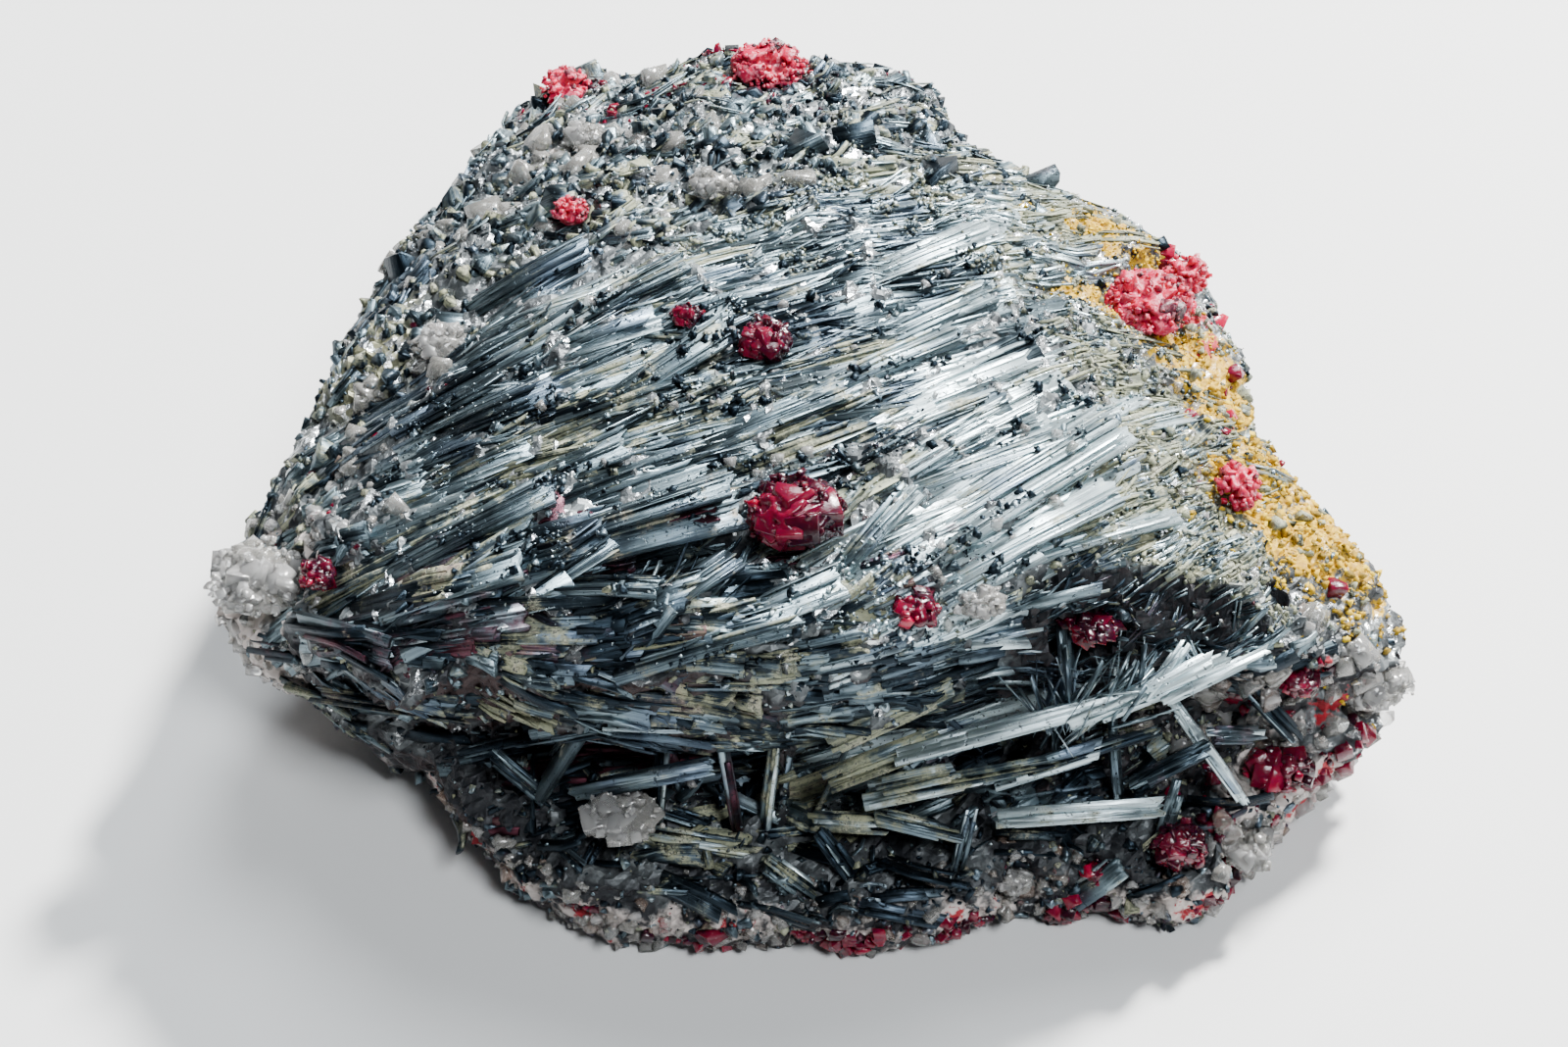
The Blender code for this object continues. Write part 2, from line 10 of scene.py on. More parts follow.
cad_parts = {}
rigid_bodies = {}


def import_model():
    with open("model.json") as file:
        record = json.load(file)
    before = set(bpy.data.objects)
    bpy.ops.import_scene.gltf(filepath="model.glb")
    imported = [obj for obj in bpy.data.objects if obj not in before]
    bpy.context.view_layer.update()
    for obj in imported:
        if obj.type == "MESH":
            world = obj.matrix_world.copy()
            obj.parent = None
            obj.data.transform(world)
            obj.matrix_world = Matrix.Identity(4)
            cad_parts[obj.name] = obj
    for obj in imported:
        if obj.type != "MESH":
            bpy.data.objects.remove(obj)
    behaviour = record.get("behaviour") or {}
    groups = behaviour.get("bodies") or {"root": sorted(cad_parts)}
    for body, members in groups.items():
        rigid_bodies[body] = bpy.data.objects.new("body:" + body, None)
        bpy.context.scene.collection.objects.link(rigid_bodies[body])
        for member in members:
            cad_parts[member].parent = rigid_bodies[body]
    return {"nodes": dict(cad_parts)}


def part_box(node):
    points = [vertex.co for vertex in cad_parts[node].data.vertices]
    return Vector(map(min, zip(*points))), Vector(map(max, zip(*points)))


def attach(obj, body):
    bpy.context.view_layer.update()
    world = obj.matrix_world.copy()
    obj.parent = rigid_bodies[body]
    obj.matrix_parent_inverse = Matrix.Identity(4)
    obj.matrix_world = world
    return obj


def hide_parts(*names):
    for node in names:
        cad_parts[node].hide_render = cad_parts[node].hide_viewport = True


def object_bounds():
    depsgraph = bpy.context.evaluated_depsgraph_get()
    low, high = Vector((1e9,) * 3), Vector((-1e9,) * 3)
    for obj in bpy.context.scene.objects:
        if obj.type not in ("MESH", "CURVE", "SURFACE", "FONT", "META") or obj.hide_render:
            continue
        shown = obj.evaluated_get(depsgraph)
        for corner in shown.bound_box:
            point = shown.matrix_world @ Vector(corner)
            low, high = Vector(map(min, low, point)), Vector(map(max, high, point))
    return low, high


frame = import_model()
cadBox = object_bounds()

# Everything is shaped in millimetres and brought to metres at the end.
perMetre = 1000.0
fullTurn, halfTurn = 6.28, 3.14  # radians, as the random turns use them
roomLow = np.array(cadBox[0]) * perMetre + 0.02  # the finished object keeps a hair inside the model's box
roomHigh = np.array(cadBox[1]) * perMetre - 0.02


# Small helpers for working at the bench
def deselectAll():
    if bpy.context.object and bpy.context.object.mode != "OBJECT":
        bpy.ops.object.mode_set(mode="OBJECT")
    bpy.ops.object.select_all(action="DESELECT")


def pickUp(piece):
    deselectAll()
    piece.select_set(True)
    bpy.context.view_layer.objects.active = piece


def startForm(kind, **size):
    deselectAll()
    getattr(bpy.ops.mesh, "primitive_" + kind + "_add")(**size)
    return bpy.context.object


def editAll(piece):
    pickUp(piece)
    bpy.ops.object.mode_set(mode="EDIT")
    bpy.ops.mesh.select_all(action="SELECT")


def editPoints(piece, wanted):
    # selects the points that wanted(co) is true for, in edit mode
    net = bmesh.from_edit_mesh(piece.data)
    for vert in net.verts:
        vert.select = bool(wanted(vert.co))
    net.select_flush_mode()
    bmesh.update_edit_mesh(piece.data)


def leaveEdit():
    bpy.ops.object.mode_set(mode="OBJECT")


def applyModifier(piece, kind, **settings):
    pickUp(piece)
    modifier = piece.modifiers.new(kind.title(), kind)
    for key, value in settings.items():
        setattr(modifier, key, value)
    bpy.ops.object.modifier_apply(modifier=modifier.name)


def pointsOf(piece):
    points = np.empty(len(piece.data.vertices) * 3, np.float64)
    piece.data.vertices.foreach_get("co", points)
    return points.reshape(-1, 3)


def setPoints(piece, points):
    piece.data.vertices.foreach_set("co", np.ascontiguousarray(points, np.float32).ravel())
    piece.data.update()


def sprayHeading(x, y):
    # the way the blades run, in radians from +X: a fan in the right middle, gentler elsewhere
    fan = 16 * math.tanh((x - 2) / 9) * math.exp(-(((y + 15) / 12) ** 2))
    return math.radians(22 + fan - 0.25 * y)


class Wire:
    # a socket of a node tree that can be used in sums
    def __init__(self, tree, socket=None):
        self.tree = tree
        self.socket = socket

    def node(self, kind, settings=None, inputs=None, output=0):
        made = self.tree.nodes.new(kind)
        for key, value in (settings or {}).items():
            if key == "stops":
                ramp = made.color_ramp.elements
                while len(ramp) < len(value):
                    ramp.new(0.5)
                for stop, (place, colour) in zip(ramp, value):
                    stop.position = place
                    stop.color = (*colour, 1)
            else:
                setattr(made, key, value)
        for key, value in (inputs or {}).items():
            if isinstance(value, Wire):
                self.tree.links.new(value.socket, made.inputs[key])
            else:
                made.inputs[key].default_value = value
        return Wire(self.tree, made.outputs[output] if made.outputs else None)

    def maths(self, operation, *values):
        return self.node("ShaderNodeMath", {"operation": operation}, dict(enumerate(values)))

    def __add__(self, other):
        return self.maths("ADD", self, other)

    def __sub__(self, other):
        return self.maths("SUBTRACT", self, other)

    def __rsub__(self, other):
        return self.maths("SUBTRACT", other, self)

    def __mul__(self, other):
        return self.maths("MULTIPLY", self, other)

    __radd__ = __add__
    __rmul__ = __mul__

    def parts(self):
        # the three channels of a colour
        split = self.node("ShaderNodeSeparateColor", inputs={0: self})
        return [Wire(self.tree, channel) for channel in split.socket.node.outputs]

    def step(self, low, high):
        # 0 below low, 1 above high, smooth between
        settings = {"interpolation_type": "SMOOTHSTEP"}
        inputs = {"Value": self, "From Min": low, "From Max": high}
        return self.node("ShaderNodeMapRange", settings, inputs)

    def mix(self, first, second):
        # a colour mix with this wire as the share of the second
        inputs = {0: self}
        for key, value in ((6, first), (7, second)):
            inputs[key] = value if isinstance(value, Wire) else (*value, 1)
        settings = {"data_type": "RGBA"}
        return self.node("ShaderNodeMix", settings, inputs, output=2)


def newFinish(name):
    finish = bpy.data.materials.new(name)
    finish.use_nodes = True
    finish.node_tree.nodes.clear()
    return finish, Wire(finish.node_tree)


def coat(bench, inputs, bump=None):
    # the surface shader and the material's output
    if bump:
        height, distance, strength = bump
        relief = {"Height": height, "Distance": distance, "Strength": strength}
        inputs = {**inputs, "Normal": bench.node("ShaderNodeBump", inputs=relief)}
    shader = bench.node("ShaderNodeBsdfPrincipled", inputs=inputs)
    bench.node("ShaderNodeOutputMaterial", inputs={"Surface": shader})


def objectPlace(bench):
    # object coordinates, in metres
    return bench.node("ShaderNodeTexCoord", output=3)


def noiseOn(bench, vector, scale, detail, rough, flat=False):
    settings = {"noise_dimensions": "2D" if flat else "3D"}
    inputs = {"Vector": vector, "Scale": scale, "Detail": detail, "Roughness": rough}
    return bench.node("ShaderNodeTexNoise", settings, inputs)


bladeCare = {
    "dark": (0.012, 0.020, 0.028),
    "steel": (0.158, 0.218, 0.248),
    "blue": (0.112, 0.156, 0.212),
    "silver": (0.570, 0.695, 0.735),
    "patina": (0.290, 0.300, 0.185),
    "patinaDark": (0.085, 0.094, 0.066),
    "cream": (0.500, 0.490, 0.360),
    "stain": (0.080, 0.018, 0.030),
    "lines": (9.0, 0.07, 1),  # fine striations to the millimetre, across and along a blade
    "bands": (2.4, 0.1, 1),  # broader ones
    "blotches": 620.0,  # patches to the metre
    "pits": 3600.0,
    "hues": 190.0,
    "relief": 0.00005,
}


def bladeFinish():
    # striated metal: "look" carries each blade's tint, patina and stain, "grain" its own millimetres
    finish, bench = newFinish("stibniteBlades")
    tint, patina, stain = bench.node("ShaderNodeAttribute", {"attribute_name": "look"}).parts()
    grain = bench.node("ShaderNodeUVMap", {"uv_map": "grain"})
    fineLie = bench.node("ShaderNodeMapping", inputs={"Vector": grain, "Scale": bladeCare["lines"]})
    broadLie = bench.node("ShaderNodeMapping", inputs={"Vector": grain, "Scale": bladeCare["bands"]})
    lines = noiseOn(bench, fineLie, 1.0, 3.0, 0.7, flat=True)
    bands = noiseOn(bench, broadLie, 1.0, 2.0, 0.5, flat=True)
    place = objectPlace(bench)
    blotch = noiseOn(bench, place, bladeCare["blotches"], 4.0, 0.65)
    pits = noiseOn(bench, place, bladeCare["pits"], 2.0, 0.7)
    shade = tint - 0.02 + (lines - 0.5) * 0.5 + (bands - 0.5) * 0.6 + (blotch - 0.5) * 0.5
    hue = noiseOn(bench, place, bladeCare["hues"], 2.0, 0.5)
    steel = hue.step(0.48, 0.68).mix(bladeCare["steel"], bladeCare["blue"])
    metal = shade.step(0.0, 0.55).mix(bladeCare["dark"], steel)
    metal = shade.step(0.5, 1.1).mix(metal, bladeCare["silver"])
    crust = (patina + (blotch - 0.5) * 1.7 + (lines - 0.5) * 0.7).step(0.42, 0.72)
    worn = (bands + (pits - 0.5) * 0.8).step(0.3, 0.62)
    crustColour = worn.mix(bladeCare["patinaDark"], bladeCare["patina"])
    crustColour = (blotch + (pits - 0.5) * 0.6).step(0.56, 0.74).mix(crustColour, bladeCare["cream"])
    colour = (crust * 0.9).mix(metal, crustColour)
    dull = (stain + (blotch - 0.5) * 1.2).step(0.4, 0.85)
    colour = (dull * 0.9).mix(colour, bladeCare["stain"])
    # painted shade: the pits are coloured near black, as if in their own shadow
    pitsAndPaintedShade = (pits + (blotch - 0.5) * 0.4).step(0.6, 0.7) * 0.85
    colour = pitsAndPaintedShade.mix(colour, bladeCare["dark"])
    inputs = {
        "Base Color": colour,
        "Metallic": 0.94 - crust * 0.75,
        "Roughness": 0.16 + lines * 0.16 + blotch * 0.26 + crust * 0.25 + pitsAndPaintedShade * 0.2,
    }
    coat(bench, inputs, bump=(lines * 0.8 + bands * 0.8 - pitsAndPaintedShade * 0.8, bladeCare["relief"], 0.8))
    return finish


rockCare = {
    "dark": (0.014, 0.016, 0.020),
    "grey": (0.170, 0.190, 0.198),
    "glint": (0.600, 0.630, 0.650),
    "olive": (0.190, 0.190, 0.120),
    "brown": (0.034, 0.019, 0.019),
    "pale": (0.560, 0.500, 0.470),
    "ochre": (0.340, 0.180, 0.001),
    "ochreLight": (0.600, 0.370, 0.004),
    "red": (0.330, 0.006, 0.018),
    "lumps": 420.0,  # patches to the metre
    "grit": 2600.0,
    "sparks": 1700.0,
    "relief": 0.00012,
}


def rockFinish():
    # broken granular rock: "stain" and the second attribute carry how much of each colour a place has; the
    # second also carries painted light, and painted shade through its brown
    finish, bench = newFinish("stibniteRock")
    ochre, pale, red = bench.node("ShaderNodeAttribute", {"attribute_name": "stain"}).parts()
    olive, brown, shine = bench.node("ShaderNodeAttribute", {"attribute_name": "cast"}).parts()
    place = objectPlace(bench)
    coarse = noiseOn(bench, place, rockCare["lumps"], 4.0, 0.6)
    fine = noiseOn(bench, place, rockCare["grit"], 3.0, 0.6)
    chips = {"Vector": place, "Scale": rockCare["sparks"]}
    cells = bench.node("ShaderNodeTexVoronoi", {"feature": "F1"}, chips, output=1)
    spark = bench.node("ShaderNodeSeparateColor", inputs={0: cells})
    # painted light and shade: the rock is lighter where painted light is high and darker where the brown
    # stands for shade
    lightness = (coarse - brown * 0.35 + shine * 0.16).step(0.35, 0.7)
    base = lightness.mix(rockCare["dark"], rockCare["grey"])
    base = (olive + (coarse - 0.5) * 1.2).step(0.35, 0.75).mix(base, rockCare["olive"])
    base = (brown + (fine - 0.5) * 1.0).step(0.35, 0.8).mix(base, rockCare["brown"])
    # silver grains, with many more where painted light is high: partly real grains, partly painted glints
    glint = (spark * 0.6 + shine * 0.5 + (fine - 0.5) * 0.5).step(0.62, 0.75)
    base = glint.mix(base, rockCare["glint"])
    paleMask = (pale + (coarse - 0.5) * 1.3).step(0.42, 0.6)
    base = paleMask.mix(base, rockCare["pale"])
    ochreMask = (ochre + (coarse - 0.5) * 1.5 + (fine - 0.5) * 0.6).step(0.42, 0.56)
    ochreColour = fine.step(0.35, 0.65).mix(rockCare["ochre"], rockCare["ochreLight"])
    base = ochreMask.mix(base, ochreColour)
    redMask = (red + (coarse - 0.5) * 1.6 + (fine - 0.5) * 0.5).step(0.5, 0.6)
    base = redMask.mix(base, rockCare["red"])
    soft = paleMask.maths("MAXIMUM", paleMask, ochreMask)
    soft = soft.maths("MAXIMUM", soft, redMask)
    inputs = {
        "Base Color": base,
        "Metallic": (0.55 + glint * 0.4) * (1 - soft),
        "Roughness": 0.5 - glint * 0.25 + soft * 0.15,
    }
    coat(bench, inputs, bump=(fine + spark * 0.5, rockCare["relief"], 0.8))
    return finish


# Two cinnabar finishes: clean crystals, and ones dusted over. The pale pink is painted glints on the clean
# crystals and a real pink powder on the dusty ones; its limits: where it starts and is full
cinnabarCare = {
    "clean": {
        "deep": (0.020, 0.000, 0.006), "body": (0.130, 0.001, 0.018), "bright": (0.460, 0.003, 0.046),
        "dust": (0.900, 0.340, 0.400), "dusting": (0.70, 0.82), "dustShare": 0.15, "roughness": 0.1,
        "relief": 0.00006,
    },
    "dusty": {
        "deep": (0.020, 0.000, 0.006), "body": (0.480, 0.004, 0.050), "bright": (0.460, 0.003, 0.046),
        "dust": (0.900, 0.340, 0.400), "dusting": (0.54, 0.70), "dustShare": 0.4, "roughness": 0.26,
        "relief": 0.00016,
    },
}


def cinnabarFinish(name, care):
    finish, bench = newFinish(name)
    tint = bench.node("ShaderNodeAttribute", {"attribute_name": "look"}).parts()[0]
    place = objectPlace(bench)
    cloud = noiseOn(bench, place, 500.0, 3.0, 0.6)
    fine = noiseOn(bench, place, 3500.0, 3.0, 0.6)
    shade = tint + (cloud - 0.5) * 0.9
    colour = shade.step(0.1, 0.6).mix(care["deep"], care["body"])
    colour = shade.step(0.55, 1.05).mix(colour, care["bright"])
    # pale pink: painted glints on the clean crystals, real pink powder on the dusty ones
    dust = (fine * 0.9 + cloud * 0.2).step(*care["dusting"]) * care["dustShare"]
    colour = dust.mix(colour, care["dust"])
    inputs = {
        "Base Color": colour,
        "Roughness": care["roughness"] + fine * 0.25 + dust * 0.4,
        "IOR": 1.5,
        "Subsurface Weight": 0.3,
        "Subsurface Radius": (1.0, 0.03, 0.03),
        "Subsurface Scale": 0.0012,
    }
    coat(bench, inputs, bump=(fine, care["relief"], 0.5))
    return finish


quartzCare = {
    "clear": (0.88, 0.88, 0.87), "milk": (0.68, 0.67, 0.63), "iron": (0.46, 0.28, 0.20),
    "seeThrough": 0.8, "scatter": 0.3, "scatterReach": 0.0008, "bends": 1.54, "relief": 0.00005,
}


def quartzFinish():
    finish, bench = newFinish("milkyQuartz")
    look = bench.node("ShaderNodeAttribute", {"attribute_name": "look"}).parts()
    tint, stain = look[0], look[2]
    place = objectPlace(bench)
    cloud = noiseOn(bench, place, 700.0, 4.0, 0.6)
    fine = noiseOn(bench, place, 3000.0, 3.0, 0.6)
    colour = (tint + (cloud - 0.5)).step(0.2, 0.8).mix(quartzCare["milk"], quartzCare["clear"])
    colour = ((stain + (cloud - 0.5) * 1.2).step(0.4, 0.8) * 0.8).mix(colour, quartzCare["iron"])
    inputs = {
        "Base Color": colour,
        "Roughness": 0.04 + cloud * 0.3,
        "IOR": quartzCare["bends"],
        "Transmission Weight": quartzCare["seeThrough"],
        "Subsurface Weight": quartzCare["scatter"],
        "Subsurface Radius": (1.0, 0.95, 0.9),
        "Subsurface Scale": quartzCare["scatterReach"],
    }
    coat(bench, inputs, bump=(fine, quartzCare["relief"], 0.4))
    return finish


ochreCare = {
    "deep": (0.170, 0.110, 0.006), "body": (0.480, 0.290, 0.002), "light": (0.720, 0.500, 0.020),
    "relief": 0.0001,
}


def ochreFinish():
    finish, bench = newFinish("ochreCrumbs")
    tint = bench.node("ShaderNodeAttribute", {"attribute_name": "look"}).parts()[0]
    place = objectPlace(bench)
    fine = noiseOn(bench, place, 2400.0, 4.0, 0.65)
    shade = tint + (fine - 0.5) * 0.8
    colour = shade.step(0.0, 0.5).mix(ochreCare["deep"], ochreCare["body"])
    colour = shade.step(0.55, 1.0).mix(colour, ochreCare["light"])
    inputs = {"Base Color": colour, "Roughness": 0.75 + fine * 0.2}
    coat(bench, inputs, bump=(fine, ochreCare["relief"], 0.8))
    return finish


# The finishes by kind; every piece uses one of them.
finishes = {
    "blades": bladeFinish(),
    "rock": rockFinish(),
    "cinnabar": cinnabarFinish("cinnabarCrystal", cinnabarCare["clean"]),
    "cinnabarDusty": cinnabarFinish("cinnabarDusty", cinnabarCare["dusty"]),
    "quartz": quartzFinish(),
    "ochre": ochreFinish(),
}
print("finishes mixed")


bodyCare = {
    "coarse": 0.62,  # first skin, which loses the thin blades
    "smoothing": 9,
    "fine": 0.4,  # size of the finished skin's faces
    "faceSink": 0.5,  # the crystal face drops by this, so that blades make the surface
    "ridges": ((2.4, 0.75), (0.9, 0.36), (0.45, 0.2)),  # width and height of grown-together blades
    "ridgeReach": 6,  # how far a ridge is drawn out, in its widths
    "facets": ((2.6, 0.6), (1.1, 0.42), (0.7, 0.22)),  # size and height of the broken grains
}
# The part of the face that is all blades, seen from above, mm
faceOutline = [
    (-29, -9), (-25, -4), (-20, 0.5), (-13, 1.2), (-7, 4.2), (-0.5, 9), (6, 12.5), (9.8, 8), (12, 1),
    (15, -3), (18, -7), (16.3, -12.8), (12.5, -18.5), (7, -22), (2.7, -24.5), (-3.6, -25), (-10, -25),
    (-16.4, -25.5), (-24, -21.5), (-31, -15),
]
# Open places in the face, mm
hollows = [
    {"at": (-8.2, -19.4), "reach": (6.5, 1.5), "turn": 8, "deep": 1.6},
    {"at": (18.6, -20.0), "reach": (8.0, 3.4), "turn": 12, "deep": 2.4},
    {"at": (26.7, -16.0), "reach": (1.1, 0.8), "turn": 0, "deep": 1.2},
]
hollowsAbove = 14  # mm; they are open from above only


def outlineDepth(points):
    # how far points are inside the outline of the face, below 0 outside
    points = points[:, :2]
    gap = np.full(len(points), 1e9)
    inside = np.zeros(len(points), bool)
    for start, end in zip(faceOutline, faceOutline[1:] + faceOutline[:1]):
        start, run = np.array(start, float), np.subtract(end, start)
        along = np.clip(((points - start) @ run) / (run @ run), 0, 1)
        gap = np.minimum(gap, np.linalg.norm(points - start - along[:, None] * run, axis=1))
        crosses = (points[:, 1] < start[1]) != (points[:, 1] < end[1])
        crossing = start[0] + (points[:, 1] - start[1]) * run[0] / (run[1] or 1e-9)
        inside ^= crosses & (points[:, 0] < crossing)
    return np.where(inside, gap, -gap)


def near(place, x, y, reachX, reachY, turn=0.0):
    # 1 at the middle of a patch, 0 from its edge on
    c, s = math.cos(math.radians(turn)), math.sin(math.radians(turn))
    dx, dy = place[0] - x, place[1] - y
    u, v = (dx * c + dy * s) / reachX, (dy * c - dx * s) / reachY
    return max(0.0, 1 - math.sqrt(u * u + v * v))


def bladedShare(place, depth):
    # 1 where the face is all blades, 0 where it is granular, with a ragged border
    ragged = 1.6 * noise.noise(place / 2.6) + 0.8 * noise.noise(place / 0.9)
    return max(0.0, min(1.0, 0.5 + (depth + ragged) / 1.6))


def hollowDepth(place):
    # how deep the open places go here, mm
    deep = 0.0
    for care in hollows:
        share = near(place, *care["at"], *care["reach"], care["turn"])
        deep = max(deep, care["deep"] * min(1.0, 2.2 * share))
    return deep


def facetHeight(place, size):
    # flat, tilted chips: each cell has its own slope
    gaps, middles = noise.voronoi(place / size)
    slope = noise.cell_vector(middles[0] * 7.3) - Vector((0.5, 0.5, 0.5))
    return slope.dot(place / size - middles[0]) * 1.6 + (gaps[1] - gaps[0]) * 0.35


def ridgeHeight(place, flow, width):
    # noise drawn out along the flow, so it reads as blades side by side
    total = 0.0
    for k in range(-4, 5):
        total += noise.noise((place + flow * (k * width * bodyCare["ridgeReach"] / 4)) / width)
    return total / 3.0


def modelRockBody():
    host = frame["nodes"]["stibnite_mass"]
    piece = bpy.data.objects.new("rockBody", host.data.copy())
    bpy.context.collection.objects.link(piece)
    piece.data.transform(Matrix.Scale(perMetre, 4))
    editAll(piece)
    bpy.ops.mesh.remove_doubles(threshold=0.002)
    leaveEdit()
    applyModifier(piece, "REMESH", mode="VOXEL", voxel_size=bodyCare["coarse"])
    applyModifier(piece, "SMOOTH", factor=0.5, iterations=bodyCare["smoothing"])
    applyModifier(piece, "REMESH", mode="VOXEL", voxel_size=bodyCare["fine"])
    applyModifier(piece, "SMOOTH", factor=0.5, iterations=2)
    depths = outlineDepth(pointsOf(piece))
    normals = [vert.normal.copy() for vert in piece.data.vertices]
    shaped = []
    for vert, normal, depth in zip(piece.data.vertices, normals, depths):
        place = vert.co
        heading = sprayHeading(place.x, place.y)
        flow = Vector((math.cos(heading), math.sin(heading), 0))
        flow -= normal * flow.dot(normal)
        endOn = min(1.0, flow.length * 1.4)  # ends of the blades, seen end on, stay granular
        flow.normalize()
        up = max(0.0, normal.z)
        bladed = up * bladedShare(place, depth) + (1 - up) * 0.55 * endOn
        height = -bodyCare["faceSink"] * up
        for width, tall in bodyCare["ridges"]:
            height += ridgeHeight(place, flow, width) * tall * bladed
        for size, tall in bodyCare["facets"]:
            height += facetHeight(place, size) * tall * (1.1 - 0.8 * bladed)
        if normal.z < -0.6 and place.z < 1.5:
            height *= 0.3
        moved = place + normal * height
        if up > 0.3 and place.z > hollowsAbove:
            moved.z -= hollowDepth(place)
        shaped.append(moved)
    setPoints(piece, np.clip(np.array(shaped), roomLow, roomHigh))
    return piece


# Patches of colour on the rock: share, then middle and reach on the plan in mm, and turn in degrees. The
# ochre is the yellow crust on the right corner, with lighter patches along the right edge
rockPaint = {
    "ochre": [
        (1.9, 28.5, -9, 10, 7, -45), (1.5, 19, 9, 6.5, 4, -30), (1.6, 24, 0, 6, 5),
        (1.4, 18.5, 2.5, 6, 2.8, -10),
    ],
    "pale": [(1.4, -33, -13, 7, 6), (0.6, -14, 17, 6, 5), (0.8, 28, -22, 8, 6)],
    "red": [(0.8, -3, 25, 8, 5), (0.8, -17, 26, 6, 6), (0.5, 31, -18, 6, 6)],
    "upperRed": [(0.7, 23, 5, 7, 8)],
    "olive": [(1.3, 21, -11, 10, 10), (0.5, -6, -12, 10, 7), (1.1, 12, 8, 12, 12), (0.5, -6, 16, 14, 8)],
    "upperOlive": [(0.9, -27, 2, 8, 14)],
    "brown": [(0.5, -14, -22, 14, 6)],
    # painted highlight: patches where the rock is coloured lighter and glintier, where the face catches the
    # light
    "shine": [(0.7, 2, -21, 7, 4), (0.5, 5, 4, 12, 8)],
}


def painted(place, name):
    return sum(share * near(place, *spot) for share, *spot in rockPaint[name])


def upperShare(place):
    # 0 low down on the sides, 1 from 12 mm up
    return max(0.0, min(1.0, (place[2] - 3) / 9))


def ochreShare(place):
    return painted(place, "ochre") * upperShare(place)


def paintRock(piece):
    # per point: how much ochre, pale quartz and red, then olive, brown and painted light; the brown also
    # stands for painted shade on the sides and in the hollows; rim is the grainy foot
    stain, cast = [], []
    for vert in piece.data.vertices:
        place, up, upper = vert.co, vert.normal.z, upperShare(vert.co)
        rim = max(0.0, 1 - abs(place.z - 2.5) / 4) * max(0.0, min(1.0, (-place.y - 14) / 6))
        ochre = 0.64 * min(1.0, ochreShare(place))
        pale = painted(place, "pale") + 0.62 * rim
        red = painted(place, "red") + painted(place, "upperRed") * upper + 0.42 * rim
        olive = painted(place, "olive") + painted(place, "upperOlive") * upper
        # the brown also carries painted shade: faces that don't look up get more of it
        brown = painted(place, "brown") + (0.45 if up < 0.2 else 0.0)
        # painted light: faces that look up are coloured lighter and glintier
        shine = painted(place, "shine") + 0.6 * up
        # painted shade on the ledge: less olive and less painted light there
        if place.y < -20 and 3 < place.z < 13:  # the shaded ledge
            olive, shine = 0.4 * olive, shine - 0.7
        # painted shade in the hollows: dark brown and no painted light
        if hollowDepth(place) > 0.2:
            olive, brown, shine = 0.0, 0.42, -0.5
        stain.append((ochre, pale, red, 1))
        cast.append((olive, brown, shine, 1))
    for name, values in (("stain", stain), ("cast", cast)):
        layer = piece.data.color_attributes.new(name, "FLOAT_COLOR", "POINT")
        layer.data.foreach_set("color", np.array(values, np.float32).ravel())


rockBody = modelRockBody()
paintRock(rockBody)
rockBody.data.materials.clear()
rockBody.data.materials.append(finishes["rock"])
rockBody.data.calc_loop_triangles()
print("rock body:", len(rockBody.data.loop_triangles), "triangles")


# Blades, grains and crystals are modelled once and then copied on to the rock.
def readForm(form, stretch=(1, 1, 1)):
    # closes the form up in triangles, unwraps it for baking and keeps it as plain arrays
    editAll(form)
    bpy.ops.mesh.quads_convert_to_tris()
    bpy.ops.mesh.normals_make_consistent(inside=False)
    leaveEdit()
    form.data.transform(Matrix.Diagonal((*stretch, 1)))
    editAll(form)
    bpy.ops.uv.smart_project(angle_limit=1.0, island_margin=0.02, scale_to_bounds=True)
    leaveEdit()
    form.data.transform(Matrix.Diagonal((1 / stretch[0], 1 / stretch[1], 1 / stretch[2], 1)))
    mesh = form.data
    points = pointsOf(form)
    corners = np.empty(len(mesh.loops), np.int32)
    mesh.loops.foreach_get("vertex_index", corners)
    corners = corners.reshape(-1, 3)
    flat = np.empty(len(mesh.loops) * 2, np.float32)
    mesh.uv_layers[0].uv.foreach_get("vector", flat)
    flat = flat.reshape(-1, 3, 2)
    a, b, c = (points[corners[:, k]] for k in range(3))
    across = np.cross(np.cross(b - a, c - a), (1.0, 0, 0))
    across[np.linalg.norm(across, axis=1) < 1e-6] = (0, 1, 0)
    across /= np.linalg.norm(across, axis=1)[:, None]
    side = (points[corners] * across[:, None, :]).sum(2)
    grain = np.stack([side, points[corners][:, :, 0]], 2)
    bpy.data.objects.remove(form)
    return {"points": points, "corners": corners, "flat": flat, "grain": grain}


def cutAway(place, way, reach):
    # everything of the selected shape past a plane goes, and the cut is closed
    away = Vector(way).normalized()
    bpy.ops.mesh.select_all(action="SELECT")
    edge = Vector(place) + away * reach
    bpy.ops.mesh.bisect(plane_co=edge, plane_no=away, use_fill=True, clear_outer=True)


